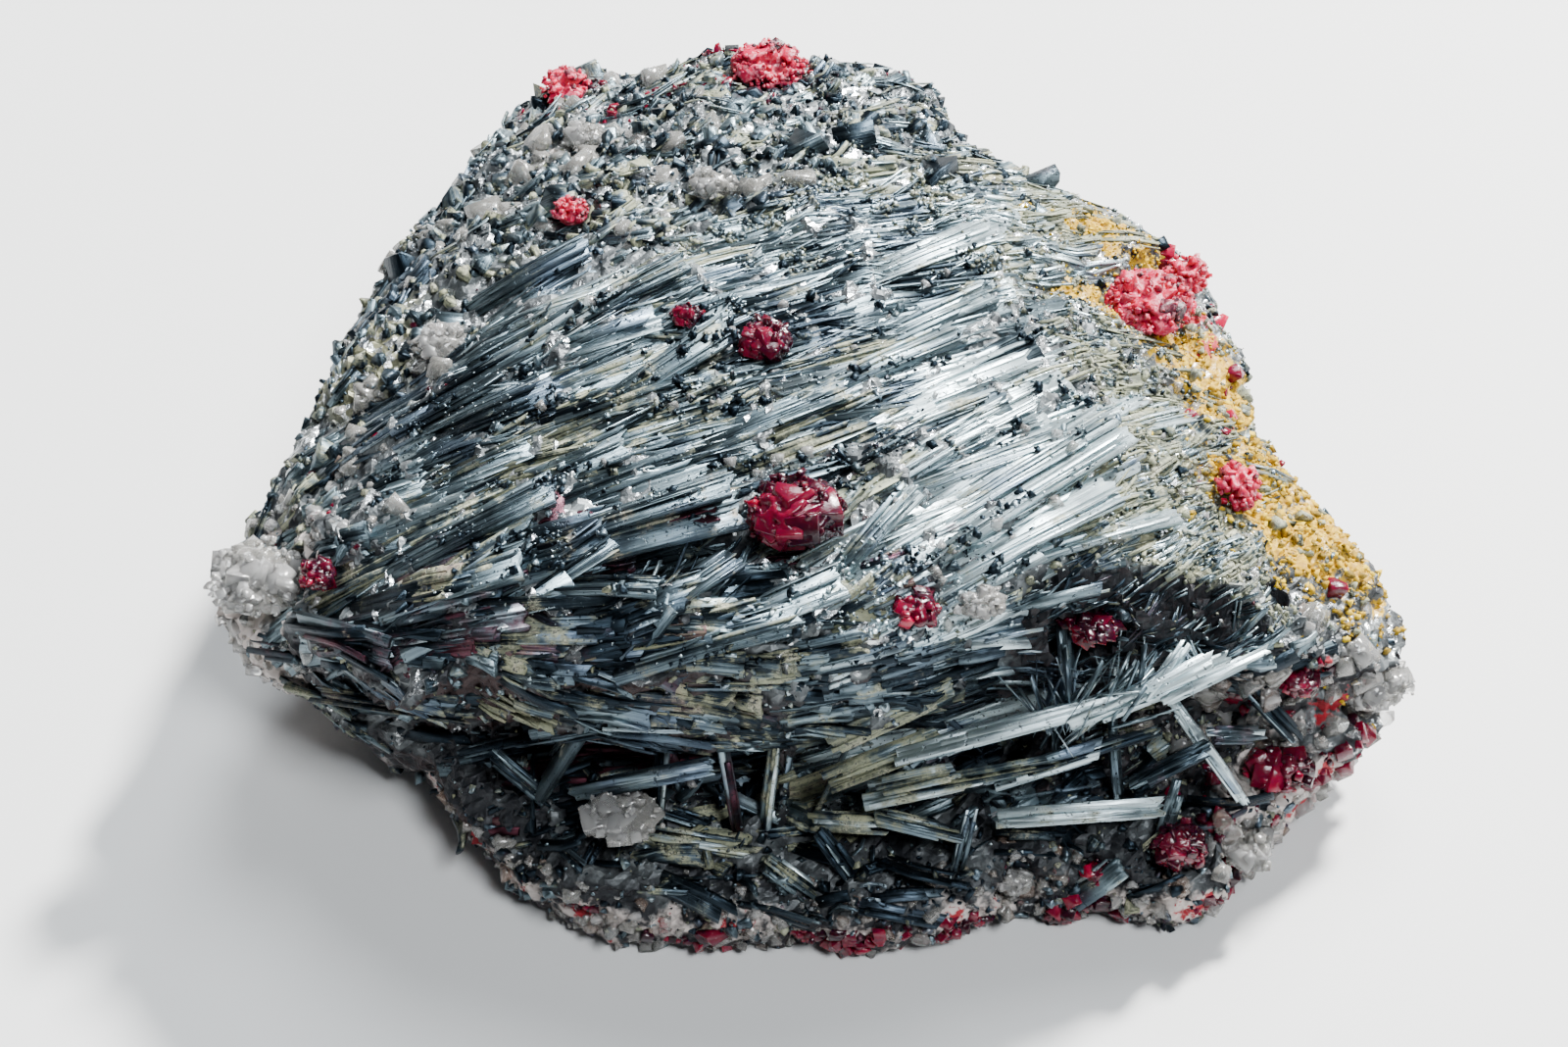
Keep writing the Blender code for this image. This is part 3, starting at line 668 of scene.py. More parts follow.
# Single blades. profile: corners across the blade; cuts: places along it and their swell; tip: way in which
# its end is cut off; taper: size of the ends
bladeForms = {
    "ridge": {
        "profile": [(-0.5, -0.14), (-0.34, 0.12), (0.08, 0.26), (0.46, 0.04), (0.4, -0.2)],
        "cuts": [(0.3, 1.05), (0.7, 0.98)], "tip": (1, 0.5, 0.2), "taper": 0.35,
    },
    "thread": {
        "profile": [(-0.5, -0.2), (0.06, 0.36), (0.5, -0.16)],
        "cuts": [(0.5, 1.0)], "tip": (1, 0.2, 0.1), "taper": 0.3,
    },
    "slat": {
        "profile": [(-0.5, -0.16), (-0.34, 0.2), (0.38, 0.28), (0.5, -0.14)],
        "cuts": [(0.5, 1.0)], "tip": (1, -0.5, 0.2), "taper": 0.92,
    },
    "board": {
        "profile": [(-0.5, -0.12), (-0.42, 0.22), (0.3, 0.17), (0.5, -0.16)],
        "cuts": [(0.5, 1.0)], "tip": (1, 0.8, -0.3), "taper": 0.95,
    },
    "stout": {
        "profile": [
            (-0.5, -0.1), (-0.46, 0.12), (-0.33, 0.2), (-0.28, 0.14), (-0.1, 0.31), (-0.04, 0.24),
            (0.16, 0.34), (0.22, 0.25), (0.4, 0.24), (0.5, 0.02), (0.4, -0.18), (0.3, -0.16),
            (0.05, -0.32), (-0.3, -0.28),
        ],
        "cuts": [(0.28, 1.03), (0.62, 0.97)], "tip": (1, 0.35, -0.25), "taper": 0.9,
    },
    "beam": {
        "profile": [
            (-0.5, -0.22), (-0.48, 0.16), (-0.3, 0.2), (-0.24, 0.13), (0.02, 0.22), (0.08, 0.14),
            (0.34, 0.2), (0.5, 0.12), (0.47, -0.16), (0.3, -0.26), (-0.1, -0.22), (-0.36, -0.3),
        ],
        "cuts": [(0.35, 0.97), (0.7, 1.04)], "tip": (1, -0.2, 0.4), "taper": 0.94,
    },
}


def around(corner):
    return math.atan2(corner[1], corner[0])


def modelBlade(care):
    # a rod of unit length along X, each of its long edges drawn out to the profile
    aside = 100  # edges that are drawn out wait there, out of the way of the rest
    profile = sorted(care["profile"], key=around)
    form = startForm("cylinder", vertices=len(profile), radius=0.5, depth=1.0)
    editAll(form)
    bpy.ops.transform.rotate(value=math.radians(90), orient_axis="Y", center_override=(0, 0, 0))
    bpy.ops.transform.translate(value=(0.5, 0, 0))
    net = bmesh.from_edit_mesh(form.data)
    edges = sorted({(round(v.co.y, 3), round(v.co.z, 3)) for v in net.verts}, key=around)
    for (y, z), (toY, toZ) in zip(edges, profile):
        editPoints(form, lambda co: abs(co.y - y) < 0.003 and abs(co.z - z) < 0.003)
        bpy.ops.transform.translate(value=(0, toY - y + aside, toZ - z))
    bpy.ops.mesh.select_all(action="SELECT")
    bpy.ops.transform.translate(value=(0, -aside, 0))
    for place, swell in care["cuts"]:
        bpy.ops.mesh.select_all(action="SELECT")
        bpy.ops.mesh.bisect(plane_co=(place, 0, 0), plane_no=(1, 0, 0))
        bpy.ops.transform.resize(value=(1, swell, swell), center_override=(place, 0, 0))
    for end in (0, 1):
        editPoints(form, lambda co: abs(co.x - end) < 0.01)
        bpy.ops.transform.resize(value=(1, care["taper"], care["taper"]), center_override=(end, 0, 0))
    way, slantY, slantZ = care["tip"]
    cutAway((0.97, 0, 0), (way, slantY * 0.12, slantZ * 0.12), 0)
    leaveEdit()
    return readForm(form, stretch=(6, 1, 1))


# Broad bands of blades grown side by side. rows: blades across; uneven: how much their heights differ;
# stagger: how ragged the ends are; flare: how much wider the tip is than the foot
bandForms = {
    "bandA": {"rows": 6, "uneven": 0.07, "stagger": 0.04, "flare": 1.0, "seed": 1},
    "bandB": {"rows": 5, "uneven": 0.10, "stagger": 0.06, "flare": 1.2, "seed": 2},
    "bandC": {"rows": 8, "uneven": 0.06, "stagger": 0.04, "flare": 1.35, "seed": 3},
    "bandD": {"rows": 4, "uneven": 0.08, "stagger": 0.08, "flare": 0.75, "seed": 4},
    "bandE": {"rows": 7, "uneven": 0.12, "stagger": 0.05, "flare": 1.1, "seed": 5},
}


def modelBand(care):
    # a slip of unit length along X, combed into ridges, with ragged ends
    rng = np.random.default_rng(care["seed"])
    rows = care["rows"]
    form = startForm("grid", x_subdivisions=2, y_subdivisions=rows, size=1)
    editAll(form)
    bpy.ops.transform.translate(value=(0.5, 0, 0))
    onePoint = 0.2 / rows
    for row in range(rows + 1):
        y = row / rows - 0.5
        comb = rng.uniform(-1, 1) * care["uneven"] - 0.35 * abs(2 * y) ** 3
        editPoints(form, lambda co: abs(co.y - y) < onePoint)
        bpy.ops.transform.translate(value=(0, 0, comb))
        for end, sign in ((0, 1), (1, -1)):
            editPoints(form, lambda co: abs(co.y - y) < onePoint and abs(co.x - end) < 0.01)
            inwards = sign * rng.random() * care["stagger"]
            bpy.ops.transform.translate(value=(inwards, 0, -0.1 * rng.random()))
    editPoints(form, lambda co: co.x > 0.66)
    bpy.ops.transform.resize(value=(1, care["flare"], 1), center_override=(1, 0, 0))
    bpy.ops.mesh.select_all(action="SELECT")
    bpy.ops.mesh.region_to_loop()
    bpy.ops.mesh.extrude_edges_move(TRANSFORM_OT_translate={"value": (0, 0, -0.8)})
    bpy.ops.transform.resize(value=(0.98, 0.9, 0.3), center_override=(0.5, 0, -1))
    bpy.ops.mesh.edge_face_add()
    leaveEdit()
    return readForm(form, stretch=(5, 1, 1))


# Broken grains and crystals. cuts: way and reach of each break
chipForms = {
    "chip": {
        "size": (1.0, 0.8, 0.7),
        "cuts": [((1, 1, 1), 0.36), ((-1, 0.6, 0.8), 0.34), ((0.2, -1, 0.9), 0.3), ((-0.4, -1, -0.7), 0.4)],
    },
    "grit": {
        "size": (0.9, 0.9, 0.9),
        "cuts": [
            ((1, 0.2, 0.7), 0.38), ((-0.8, 1, 0.5), 0.36), ((-0.5, -1, 0.8), 0.36),
            ((0.7, -0.6, -0.8), 0.4),
        ],
    },
    "flake": {
        "size": (1.1, 0.8, 0.35),
        "cuts": [((1, 0.7, 0.2), 0.34), ((-1, 0.6, 0.1), 0.36), ((-0.3, -1, 0.3), 0.28)],
    },
    "splinter": {
        "size": (1.6, 0.45, 0.4),
        "cuts": [((1, 0.3, 0.5), 0.5), ((-1, 0.5, 0.3), 0.55), ((0.1, 0.5, 1), 0.17)],
    },
}
crystalForms = {
    "block": {
        "slant": 0.22, "bevel": 0.035,
        "cuts": [((0.7, 0.5, 0.6), 0.44), ((-0.6, 0.7, 0.4), 0.46)],
    },
    "wedge": {
        "slant": 0.35, "bevel": 0.025,
        "cuts": [((0.3, -0.8, 0.6), 0.38), ((-0.8, -0.2, 0.6), 0.42)],
    },
    "twin": {
        "slant": -0.25, "bevel": 0.03,
        "cuts": [((0.6, 0.0, 0.8), 0.4), ((-0.2, 0.9, 0.4), 0.44), ((-0.7, -0.6, 0.4), 0.46)],
    },
}
prismForms = {"prism": {"point": 0.24, "pointSize": 0.12}}
speckForms = {"speck": {"size": (1.2, 0.8, 1.0)}}


def modelChip(care):
    # a small broken grain of about unit size
    form = startForm("cube", size=1)
    editAll(form)
    bpy.ops.transform.resize(value=care["size"])
    for way, reach in care["cuts"]:
        cutAway((0, 0, 0), way, reach)
    leaveEdit()
    return readForm(form)


def modelCrystal(care):
    # a slanted block with worn edges and broken corners
    form = startForm("cube", size=0.9)
    editAll(form)
    editPoints(form, lambda co: co.z > 0)
    bpy.ops.transform.translate(value=(care["slant"], care["slant"] * 0.5, 0))
    for way, reach in care["cuts"]:
        cutAway((0, 0, 0), way, reach)
    bpy.ops.mesh.select_all(action="SELECT")
    bpy.ops.mesh.bevel(offset=care["bevel"], segments=1, affect="EDGES")
    leaveEdit()
    return readForm(form)


def modelPrism(care):
    # a six-sided quartz point
    form = startForm("cylinder", vertices=6, radius=0.3, depth=0.6)
    editAll(form)
    editPoints(form, lambda co: co.z > 0.2)
    bpy.ops.mesh.extrude_region_move(TRANSFORM_OT_translate={"value": (0, 0, care["point"])})
    narrow = (care["pointSize"], care["pointSize"], 1)
    bpy.ops.transform.resize(value=narrow, center_override=(0, 0, 0.5))
    leaveEdit()
    return readForm(form)


def modelSpeck(care):
    # the smallest grain
    form = startForm("cone", vertices=5, radius1=0.5, depth=0.7)
    editAll(form)
    bpy.ops.transform.resize(value=care["size"])
    leaveEdit()
    return readForm(form)


forms = {}
for model, cares in (
    (modelBlade, bladeForms), (modelBand, bandForms), (modelChip, chipForms), (modelCrystal, crystalForms),
    (modelPrism, prismForms), (modelSpeck, speckForms),
):
    for name, care in cares.items():
        forms[name] = model(care)
print("forms and their triangles:", {name: len(form["corners"]) for name, form in forms.items()})


grainRoom = 60  # mm of striations that a copy's own can start in


class Copies:
    # gathers placed copies of the forms and joins them in one mesh
    def __init__(self):
        self.points, self.corners, self.flat, self.grain, self.look = [], [], [], [], []
        self.count = 0

    def put(self, form, origin, axes, look, rng, bend=0.0):
        # axes: the form's X, Y and Z in millimetres, each with its length; the striations start anywhere
        shape = form["points"]
        placed = shape @ np.array(axes) + np.array(origin)
        if bend:
            up = np.array(axes[2]) / max(1e-9, np.linalg.norm(axes[2]))
            placed = placed + 4 * shape[:, :1] * (1 - shape[:, :1]) * bend * up
        scale = (np.linalg.norm(axes[1]), np.linalg.norm(axes[0]))
        grain = form["grain"] * scale + rng.uniform(0, grainRoom, 2)
        self.add(placed, form["corners"], form["flat"], grain, look)

    def add(self, points, corners, flat, grain, look):
        self.points.append(points)
        self.corners.append(corners + self.count)
        self.count += len(points)
        self.flat.append(flat)
        self.grain.append(grain)
        look = np.broadcast_to(np.asarray(look, float), (len(points), 3))
        self.look.append(np.column_stack([look, np.ones(len(points))]))

    def join(self, name, finish):
        cells = math.ceil(math.sqrt(max(1, len(self.flat))))
        for k, flat in enumerate(self.flat):
            self.flat[k] = (flat * 0.94 + 0.03 + (k % cells, k // cells)) / cells
        points = np.clip(np.concatenate(self.points), roomLow, roomHigh)
        corners = np.concatenate(self.corners)
        mesh = bpy.data.meshes.new(name)
        mesh.vertices.add(len(points))
        mesh.vertices.foreach_set("co", points.astype(np.float32).ravel())
        mesh.loops.add(corners.size)
        mesh.loops.foreach_set("vertex_index", corners.astype(np.int32).ravel())
        mesh.polygons.add(len(corners))
        mesh.polygons.foreach_set("loop_start", np.arange(0, corners.size, 3, dtype=np.int32))
        mesh.update(calc_edges=True)
        for layer, values in (("grain", self.grain), ("OFBake", self.flat)):
            uv = mesh.uv_layers.new(name=layer)
            uv.uv.foreach_set("vector", np.concatenate(values).astype(np.float32).ravel())
        look = mesh.color_attributes.new("look", "FLOAT_COLOR", "POINT")
        look.data.foreach_set("color", np.concatenate(self.look).astype(np.float32).ravel())
        mesh.validate()
        mesh.materials.append(finish)
        piece = bpy.data.objects.new(name, mesh)
        bpy.context.collection.objects.link(piece)
        print(name + ":", len(self.flat), "copies,", len(corners), "faces")
        return piece


# The rock's triangles tell where things can lie.
rockTree = BVHTree.FromObject(rockBody, bpy.context.evaluated_depsgraph_get())
rockPoints = pointsOf(rockBody)
rockCorners = np.empty(len(rockBody.data.loop_triangles) * 3, np.int32)
rockBody.data.loop_triangles.foreach_get("vertices", rockCorners)
rockCorners = rockCorners.reshape(-1, 3)
triA, triB, triC = (rockPoints[rockCorners[:, k]] for k in range(3))
triMiddle = (triA + triB + triC) / 3
triNormal = np.cross(triB - triA, triC - triA)
triArea = np.linalg.norm(triNormal, axis=1) / 2
triNormal /= np.maximum(triArea[:, None] * 2, 1e-12)


def lieOfTheRock(cell):
    # the slope of the ground without its small grains
    sums = {}
    keys = [tuple(key) for key in np.floor(triMiddle / cell).astype(int)]
    for key, value in zip(keys, triNormal * triArea[:, None]):
        sums[key] = sums.get(key, 0) + value
    blended = {}
    for key, total in sums.items():
        total = total.copy()
        for dx, dy, dz in ((1, 0, 0), (-1, 0, 0), (0, 1, 0), (0, -1, 0), (0, 0, 1), (0, 0, -1)):
            total += 0.7 * sums.get((key[0] + dx, key[1] + dy, key[2] + dz), 0)
        blended[key] = total / max(1e-9, np.linalg.norm(total))
    return np.array([blended[key] for key in keys])


def patch(place, size, seed):
    # slow variation over the rock, from about -1 to 1, in patches of so many mm
    return 1.6 * noise.noise(Vector(place) / size + Vector((seed * 17.3, seed * 5.1, seed * 9.7)))


def crustPatch(place):
    # crust lies in streaks between the blades
    c, s = math.cos(math.radians(20)), math.sin(math.radians(20))
    drawn = Vector(((place[0] * c + place[1] * s) / 2.6, place[1] * c - place[0] * s, place[2]))
    return patch(drawn, 2.2, 7) + 0.6 * patch(place, 1.1, 8)


lieOfRock = lieOfTheRock(1.8)
crustAt = np.array([crustPatch(p) for p in triMiddle])
depthAt = outlineDepth(triMiddle)
bladedAt = np.array([bladedShare(Vector(p), depth) for p, depth in zip(triMiddle, depthAt)])
hollowAt = np.array([hollowDepth(p) > 0.3 for p in triMiddle])
ochreAt = np.array([
    0.8 * ochreShare(p) + 0.7 * patch(p, 2.0, 9) + 0.5 * patch(p, 0.8, 10) for p in triMiddle
])


def inField(care):
    # how likely each face of the rock is for a field: an ellipse on the plan, and limits of what lies there
    # with the share that still gets in outside them
    turn = math.radians(care.get("turn", 0))
    c, s = math.cos(turn), math.sin(turn)
    dx, dy = triMiddle[:, 0] - care["at"][0], triMiddle[:, 1] - care["at"][1]
    u, v = (dx * c + dy * s) / care["reach"][0], (dy * c - dx * s) / care["reach"][1]
    weight = triArea * np.clip(1.25 - (u * u + v * v), 0, 1) ** 0.7
    for name, values, usual, outside in (
        ("slope", lieOfRock[:, 2], (0.25, 1.1), 0.0),
        ("height", triMiddle[:, 2], (0, 40), 0.0),
        ("crust", crustAt, (-9, 9), 0.015),
        ("bladed", bladedAt, (-9, 9), 0.0),
        ("ochre", ochreAt, (-9, 9), 0.05),
    ):
        low, high = care.get(name, usual)
        weight *= np.where((values > low) & (values < high), 1.0, outside)
    opened = hollowAt & (triMiddle[:, 2] > hollowsAbove - 1)
    return weight * np.where(opened, care.get("open", 0.12), 1.0)


def seats(care, rng):
    # the rock's faces that the copies of a field start from
    weight = inField(care)
    return rng.choice(len(weight), size=care["count"], p=weight / weight.sum())


def roomOf(nodeName):
    # the middle and the reach of a node of the model, mm
    low, high = (np.array(corner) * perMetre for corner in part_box(nodeName))
    return (low + high) / 2, (high - low) / 2


crystalNodes = sorted(set(frame["nodes"]) - {"stibnite_mass"})
roomMiddle, roomReach = (np.array(part) for part in zip(*(roomOf(nodeName) for nodeName in crystalNodes)))


def inTheWay(start, end):
    # whether a blade would run through one of the crystal clusters
    for t in (0.0, 0.35, 0.7, 1.0):
        away = (start + (end - start) * t - roomMiddle) / (roomReach * 0.85)
        if ((away ** 2).sum(1) < 1).any():
            return True
    return False


def between(limits, share):
    return limits[0] + (limits[1] - limits[0]) * share


def pick(choices, rng):
    return choices[int(rng.integers(len(choices)))]


def tumble(rng):
    # a random turn, for grains that lie anyhow
    turn = Matrix.Rotation(rng.uniform(0, fullTurn), 3, "Z")
    return turn @ Matrix.Rotation(rng.uniform(0, halfTurn), 3, "X")


def unit(vector):
    return vector / max(1e-9, np.linalg.norm(vector))


def ground(point, up):
    # the rock under a point, looking down along the local slope from 3 mm above it
    hit = rockTree.ray_cast(Vector(point + up * 3.0), Vector(-up), 6.6)[0]
    return None if hit is None else np.array(hit)


def fromAbove(tree, x, y):
    # the highest place of something over a point of the plan
    return tree.ray_cast(Vector((x, y, 60)), Vector((0, 0, -1)))[0]


def lay(copies, form, foot, tip, up, width, thick, look, rng, bend=0.0):
    # one blade or sheaf from foot to tip, its broad side turned to up
    along = tip - foot
    side = unit(np.cross(up, along))
    rise = unit(np.cross(along, side))
    copies.put(forms[form], foot, (along, side * width, rise * thick), look, rng, bend)


def localLook(place, care, rng):
    # tint, patina and stain: neighbours look alike, so the colours drift over the face in patches
    tint = rng.uniform(*care["tint"]) + 0.24 * patch(place, 6, 1) + 0.16 * patch(place, 2.2, 2)
    patina = care["patina"] + 0.55 * patch(place, 5, 3) + rng.normal() * 0.12
    stain = care.get("stain", 0.0) + 0.4 * patch(place, 5, 4) + rng.normal() * 0.1 - 0.1
    return float(np.clip(tint, 0, 1.4)), max(0.0, patina), max(0.0, stain)


def inHollow(place):
    return place[2] > hollowsAbove and hollowDepth(place) > 0.3


def layStrips(copies, care, start, end, up, arch, wide, look, rng):
    # a broad band of blades with a few single ones along its back, all at nearly one heading
    side = unit(np.cross(up, end - start))
    tilt = rng.normal() * care.get("tilt", 0.16)
    roll = up - side * tilt
    tint, patina, stain = look
    blocked = inTheWay(start, end)
    path = [start + (end - start) * t for t in (0.2, 0.4, 0.6, 0.8)]
    overHollow = not care.get("over") and any(inHollow(p) for p in path)
    skipped = blocked or (overHollow and rng.random() < 0.9)
    if not skipped and rng.random() < care.get("banded", 0.85):
        form = pick(care.get("bands", broad), rng)
        lay(copies, form, start, end, roll, wide, 0.22 + 0.16 * wide, look, rng, arch)
    splay = rng.uniform(*care.get("splay", (0.95, 1.35)))
    board = rng.uniform(*care["width"])
    ragged = care.get("ragged", 0.3)
    for k in range(int(rng.integers(care["strips"][0], care["strips"][1] + 1))):
        shift = rng.uniform(-0.5, 0.5) * wide
        across = (side + up * tilt) * shift
        first, last = rng.random() ** 2 * ragged, 1 - rng.random() ** 2 * ragged
        height = rng.uniform(0.0, 0.14) - 0.1 * abs(shift)
        arcs = [4 * t * (1 - t) * arch for t in (first, last)]
        tipHeight = height + arcs[1] + rng.uniform(-0.04, 0.1)
        a = start + (end - start) * first + across * (1 + (splay - 1) * first) + up * (height + arcs[0])
        b = start + (end - start) * last + across * splay + up * tipHeight
        middle = (a + b) / 2
        sunk = not care.get("over") and inHollow(middle)
        if (blocked and inTheWay(a, b)) or (sunk and rng.random() < 0.8):
            continue
        own = (tint + rng.normal() * care.get("vary", 0.16), patina + rng.normal() * 0.1, stain)
        size = board * rng.uniform(0.7, 1.4)
        form = pick(care.get("forms", boards), rng)
        lean = roll + side * rng.normal() * 0.12
        thick = max(0.14, size * rng.uniform(0.45, 0.8))
        lay(copies, form, a, b, lean, size, thick, own, rng, arch * (last - first) ** 2)


def layBundle(copies, care, seat, rng):
    up = lieOfRock[seat]
    centre = triMiddle[seat]
    heading = sprayHeading(centre[0], centre[1])
    heading += math.radians(care.get("swing", 0) + rng.normal() * care["sway"])
    if rng.random() < care.get("astray", 0.03):
        heading += rng.normal() * 0.4
    flow = np.array((math.cos(heading), math.sin(heading), 0.0))
    flow -= up * flow.dot(up)
    if np.linalg.norm(flow) < 0.3:
        return
    flow = unit(flow)
    length = between(care["length"], rng.random() ** 1.5)
    for attempt in range(4):
        start, end = (ground(centre + flow * length * half, up) for half in (-0.5, 0.5))
        if start is not None and end is not None:
            break
        centre = centre + flow * length * (0.15 if start is None else -0.15)
        length *= 0.7
    else:
        return
    middle = ground((start + end) / 2, up)
    if middle is None or (middle - (start + end) / 2).dot(up) < -care.get("bridge", 0.8):
        return
    end = end + up * rng.uniform(*care["lift"])
    start = start + up * rng.uniform(-0.3, 0.1)
    arch = float(np.clip((middle - (start + end) / 2).dot(up), -0.4, 0.9))
    wide = rng.uniform(*care["wide"])
    layStrips(copies, care, start, end, up, arch, wide, localLook(centre, care, rng), rng)


# Fields of blades on the rock, in mm. at and reach: ellipse on the plan; wide: of a band; width: of a
# single blade; strips: single blades to a band; sway and swing: how far the headings differ and turn,
# degrees; crust, bladed, ochre, slope and height: the limits between which the field lies
broad = ["bandA", "bandB", "bandC", "bandD", "bandE"]
boards = ["slat", "board", "slat", "board", "thread"]
slivers = ["thread", "slat"]
faceFields = {
    "upper": {
        "at": (-2, 4), "reach": (20, 8), "turn": 12, "count": 210, "strips": (1, 5), "length": (4, 12),
        "wide": (0.5, 1.6), "width": (0.14, 0.34), "sway": 4, "lift": (-0.3, 0.15), "tint": (0.35, 0.8),
        "patina": 0.25, "crust": (-9, 0.3), "bladed": (0.4, 2),
    },
    "west": {
        "at": (-18, -10), "reach": (14, 9), "turn": 8, "count": 130, "strips": (2, 6), "length": (9, 19),
        "wide": (0.8, 2.4), "width": (0.22, 0.55), "sway": 4, "lift": (-0.3, 0.35), "tint": (0.18, 0.68),
        "patina": 0.25, "stain": 0.12, "crust": (-9, 0.3), "bladed": (0.4, 2),
    },
    "centre": {
        "at": (-2, -8), "reach": (13, 9), "turn": 20, "count": 150, "strips": (2, 6), "length": (8, 17),
        "wide": (0.7, 2.2), "width": (0.15, 0.4), "sway": 3.5, "lift": (-0.3, 0.3), "tint": (0.15, 0.7),
        "patina": 0.2, "crust": (-9, 0.3), "bladed": (0.4, 2),
    },
    # partly painted highlight: the fan's blades are coloured lighter, for the glare on them
    "fan": {
        "at": (9, -13), "reach": (10, 9), "turn": 35, "count": 100, "strips": (2, 6), "length": (8, 17),
        "wide": (0.7, 2.0), "width": (0.15, 0.36), "sway": 2.5, "swing": 1, "lift": (-0.2, 0.4),
        "tint": (0.75, 1.3), "patina": 0.15, "crust": (-9, 0.4), "bladed": (0.4, 2),
    },
    "southWest": {
        "at": (-18, -20), "reach": (15, 5), "count": 100, "strips": (1, 4), "length": (5, 13),
        "wide": (0.7, 2.2), "width": (0.3, 0.8), "sway": 7, "swing": -6, "lift": (-0.2, 0.6),
        "tint": (-0.2, 0.4), "patina": 0.12, "stain": 0.5, "crust": (-9, 0.4), "tilt": 0.3,
    },
    "lip": {
        "at": (0, -23), "reach": (14, 3), "turn": 3, "count": 90, "strips": (1, 4), "length": (3, 9),
        "wide": (0.6, 1.9), "width": (0.25, 0.7), "sway": 9, "swing": -8, "lift": (-0.2, 0.5),
        "tint": (-0.15, 0.6), "patina": 0.3, "stain": 0.2, "crust": (-9, 0.4), "astray": 0.15,
        "tilt": 0.3,
    },
}
# Needles in the open places of the face
hollowNeedles = {
    "strips": (2, 4), "length": (1.5, 5.5), "wide": (0.4, 1.6), "width": (0.1, 0.28), "sway": 24,
    "swing": 14, "lift": (0.0, 0.9), "tint": (-0.1, 0.55), "patina": 0.1, "forms": slivers, "banded": 0,
    "open": 1, "over": True, "slope": (-0.2, 1.1), "height": (12, 30),
}
sliverFields = {
    "upper": {
        "at": (-2, 4), "reach": (20, 8), "turn": 12, "count": 130, "strips": (2, 5), "length": (1.5, 6),
        "wide": (0.4, 1.4), "width": (0.1, 0.2), "sway": 8, "lift": (0.0, 0.6), "tint": (0.2, 1.0),
        "patina": 0.0, "forms": slivers, "bladed": (0.3, 2), "banded": 0,
    },
    "middle": {
        "at": (-4, -11), "reach": (24, 11), "turn": 10, "count": 70, "strips": (2, 4), "length": (3, 9),
        "wide": (0.4, 2.0), "width": (0.1, 0.24), "sway": 9, "lift": (0.1, 0.8), "tint": (0.0, 0.9),
        "patina": 0.1, "stain": 0.05, "forms": slivers, "bladed": (0.4, 2), "banded": 0,
    },
    "north": {
        "at": (-6, 18), "reach": (20, 13), "count": 230, "strips": (1, 4), "length": (1.4, 5.6),
        "wide": (0.4, 1.3), "width": (0.14, 0.45), "sway": 16, "swing": -6, "lift": (0.0, 0.7),
        "tint": (0.0, 0.85), "patina": 0.3, "bladed": (-1, 0.4), "astray": 0.15, "banded": 0.4,
    },
    "east": {
        "at": (20, -9), "reach": (8, 11), "count": 250, "strips": (2, 5), "length": (1.4, 5.0),
        "wide": (0.4, 1.4), "width": (0.1, 0.24), "sway": 10, "swing": -6, "lift": (-0.05, 0.25),
        "tint": (0.2, 0.7), "patina": 0.75, "forms": slivers, "bladed": (-1, 0.5), "crust": (-9, 0.5),
        "banded": 0.4, "ochre": (-9, 0.6),
    },
    "northEast": {
        "at": (12, 8), "reach": (8, 8), "count": 170, "strips": (2, 5), "length": (1.4, 5.0),
        "wide": (0.4, 1.4), "width": (0.12, 0.28), "sway": 12, "swing": -4, "lift": (-0.05, 0.35),
        "tint": (0.35, 1.0), "patina": 0.4, "forms": slivers, "bladed": (-1, 0.6), "crust": (-9, 0.4),
        "banded": 0.5, "ochre": (-9, 0.6),
    },
    "rightHollow": {
        **hollowNeedles, "at": (18.6, -20.0), "reach": (8.5, 4.0), "turn": 12, "count": 120,
        "stain": 0.25,
    },
    "leftHollow": {
        **hollowNeedles, "at": (-8.2, -19.4), "reach": (7, 1.8), "turn": 8, "count": 36, "stain": 0.4,
    },
}
sideFields = {
    "cliff": {
        "at": (-2, -21), "reach": (34, 9), "count": 210, "strips": (1, 3), "length": (2, 8),
        "wide": (0.5, 1.9), "width": (0.24, 0.8), "sway": 12, "swing": -10, "lift": (-0.1, 0.4),
        "tint": (-0.15, 0.6), "patina": 0.2, "stain": 0.3, "slope": (-0.5, 0.5), "height": (12.5, 22),
        "astray": 0.15, "tilt": 0.3,
    },
    "ledge": {
        "at": (2, -25), "reach": (24, 6), "count": 120, "strips": (1, 3), "length": (1.4, 7.5),
        "wide": (0.5, 1.6), "width": (0.2, 0.8), "sway": 45, "swing": -10, "lift": (0.1, 1.6),
        "tint": (-0.3, 0.6), "patina": 0.1, "stain": 0.15, "forms": boards + ["stout", "beam"],
        "slope": (-0.3, 1.1), "height": (3.5, 13), "tilt": 0.5, "banded": 0.3, "bridge": 3,
    },
    "westSide": {
        "at": (-25, 3), "reach": (11, 22), "turn": -20, "count": 150, "strips": (1, 3),
        "length": (1.4, 6), "wide": (0.5, 1.8), "width": (0.2, 0.6), "sway": 14, "lift": (-0.1, 0.3),
        "tint": (0.0, 0.6), "patina": 0.3, "stain": 0.05, "slope": (-0.4, 0.85), "tilt": 0.3,
        "banded": 0.7,
    },
    "backSide": {
        "at": (0, 12), "reach": (34, 26), "turn": -20, "count": 210, "strips": (1, 3), "length": (2, 8),
        "wide": (0.6, 2.2), "width": (0.24, 0.7), "sway": 14, "lift": (-0.1, 0.3), "tint": (0.0, 0.6),
        "patina": 0.25, "stain": 0.05, "slope": (-0.9, 0.35), "height": (1.0, 24), "tilt": 0.3,
    },
}

visual = []  # pieces of the finished object, each with its slot


def layFields(name, fields, seed):
    copies = Copies()
    rng = np.random.default_rng(seed)
    for care in fields.values():
        for seat in seats(care, rng):
            layBundle(copies, care, seat, rng)
    visual.append((copies.join(name, finishes["blades"]), "stibnite"))


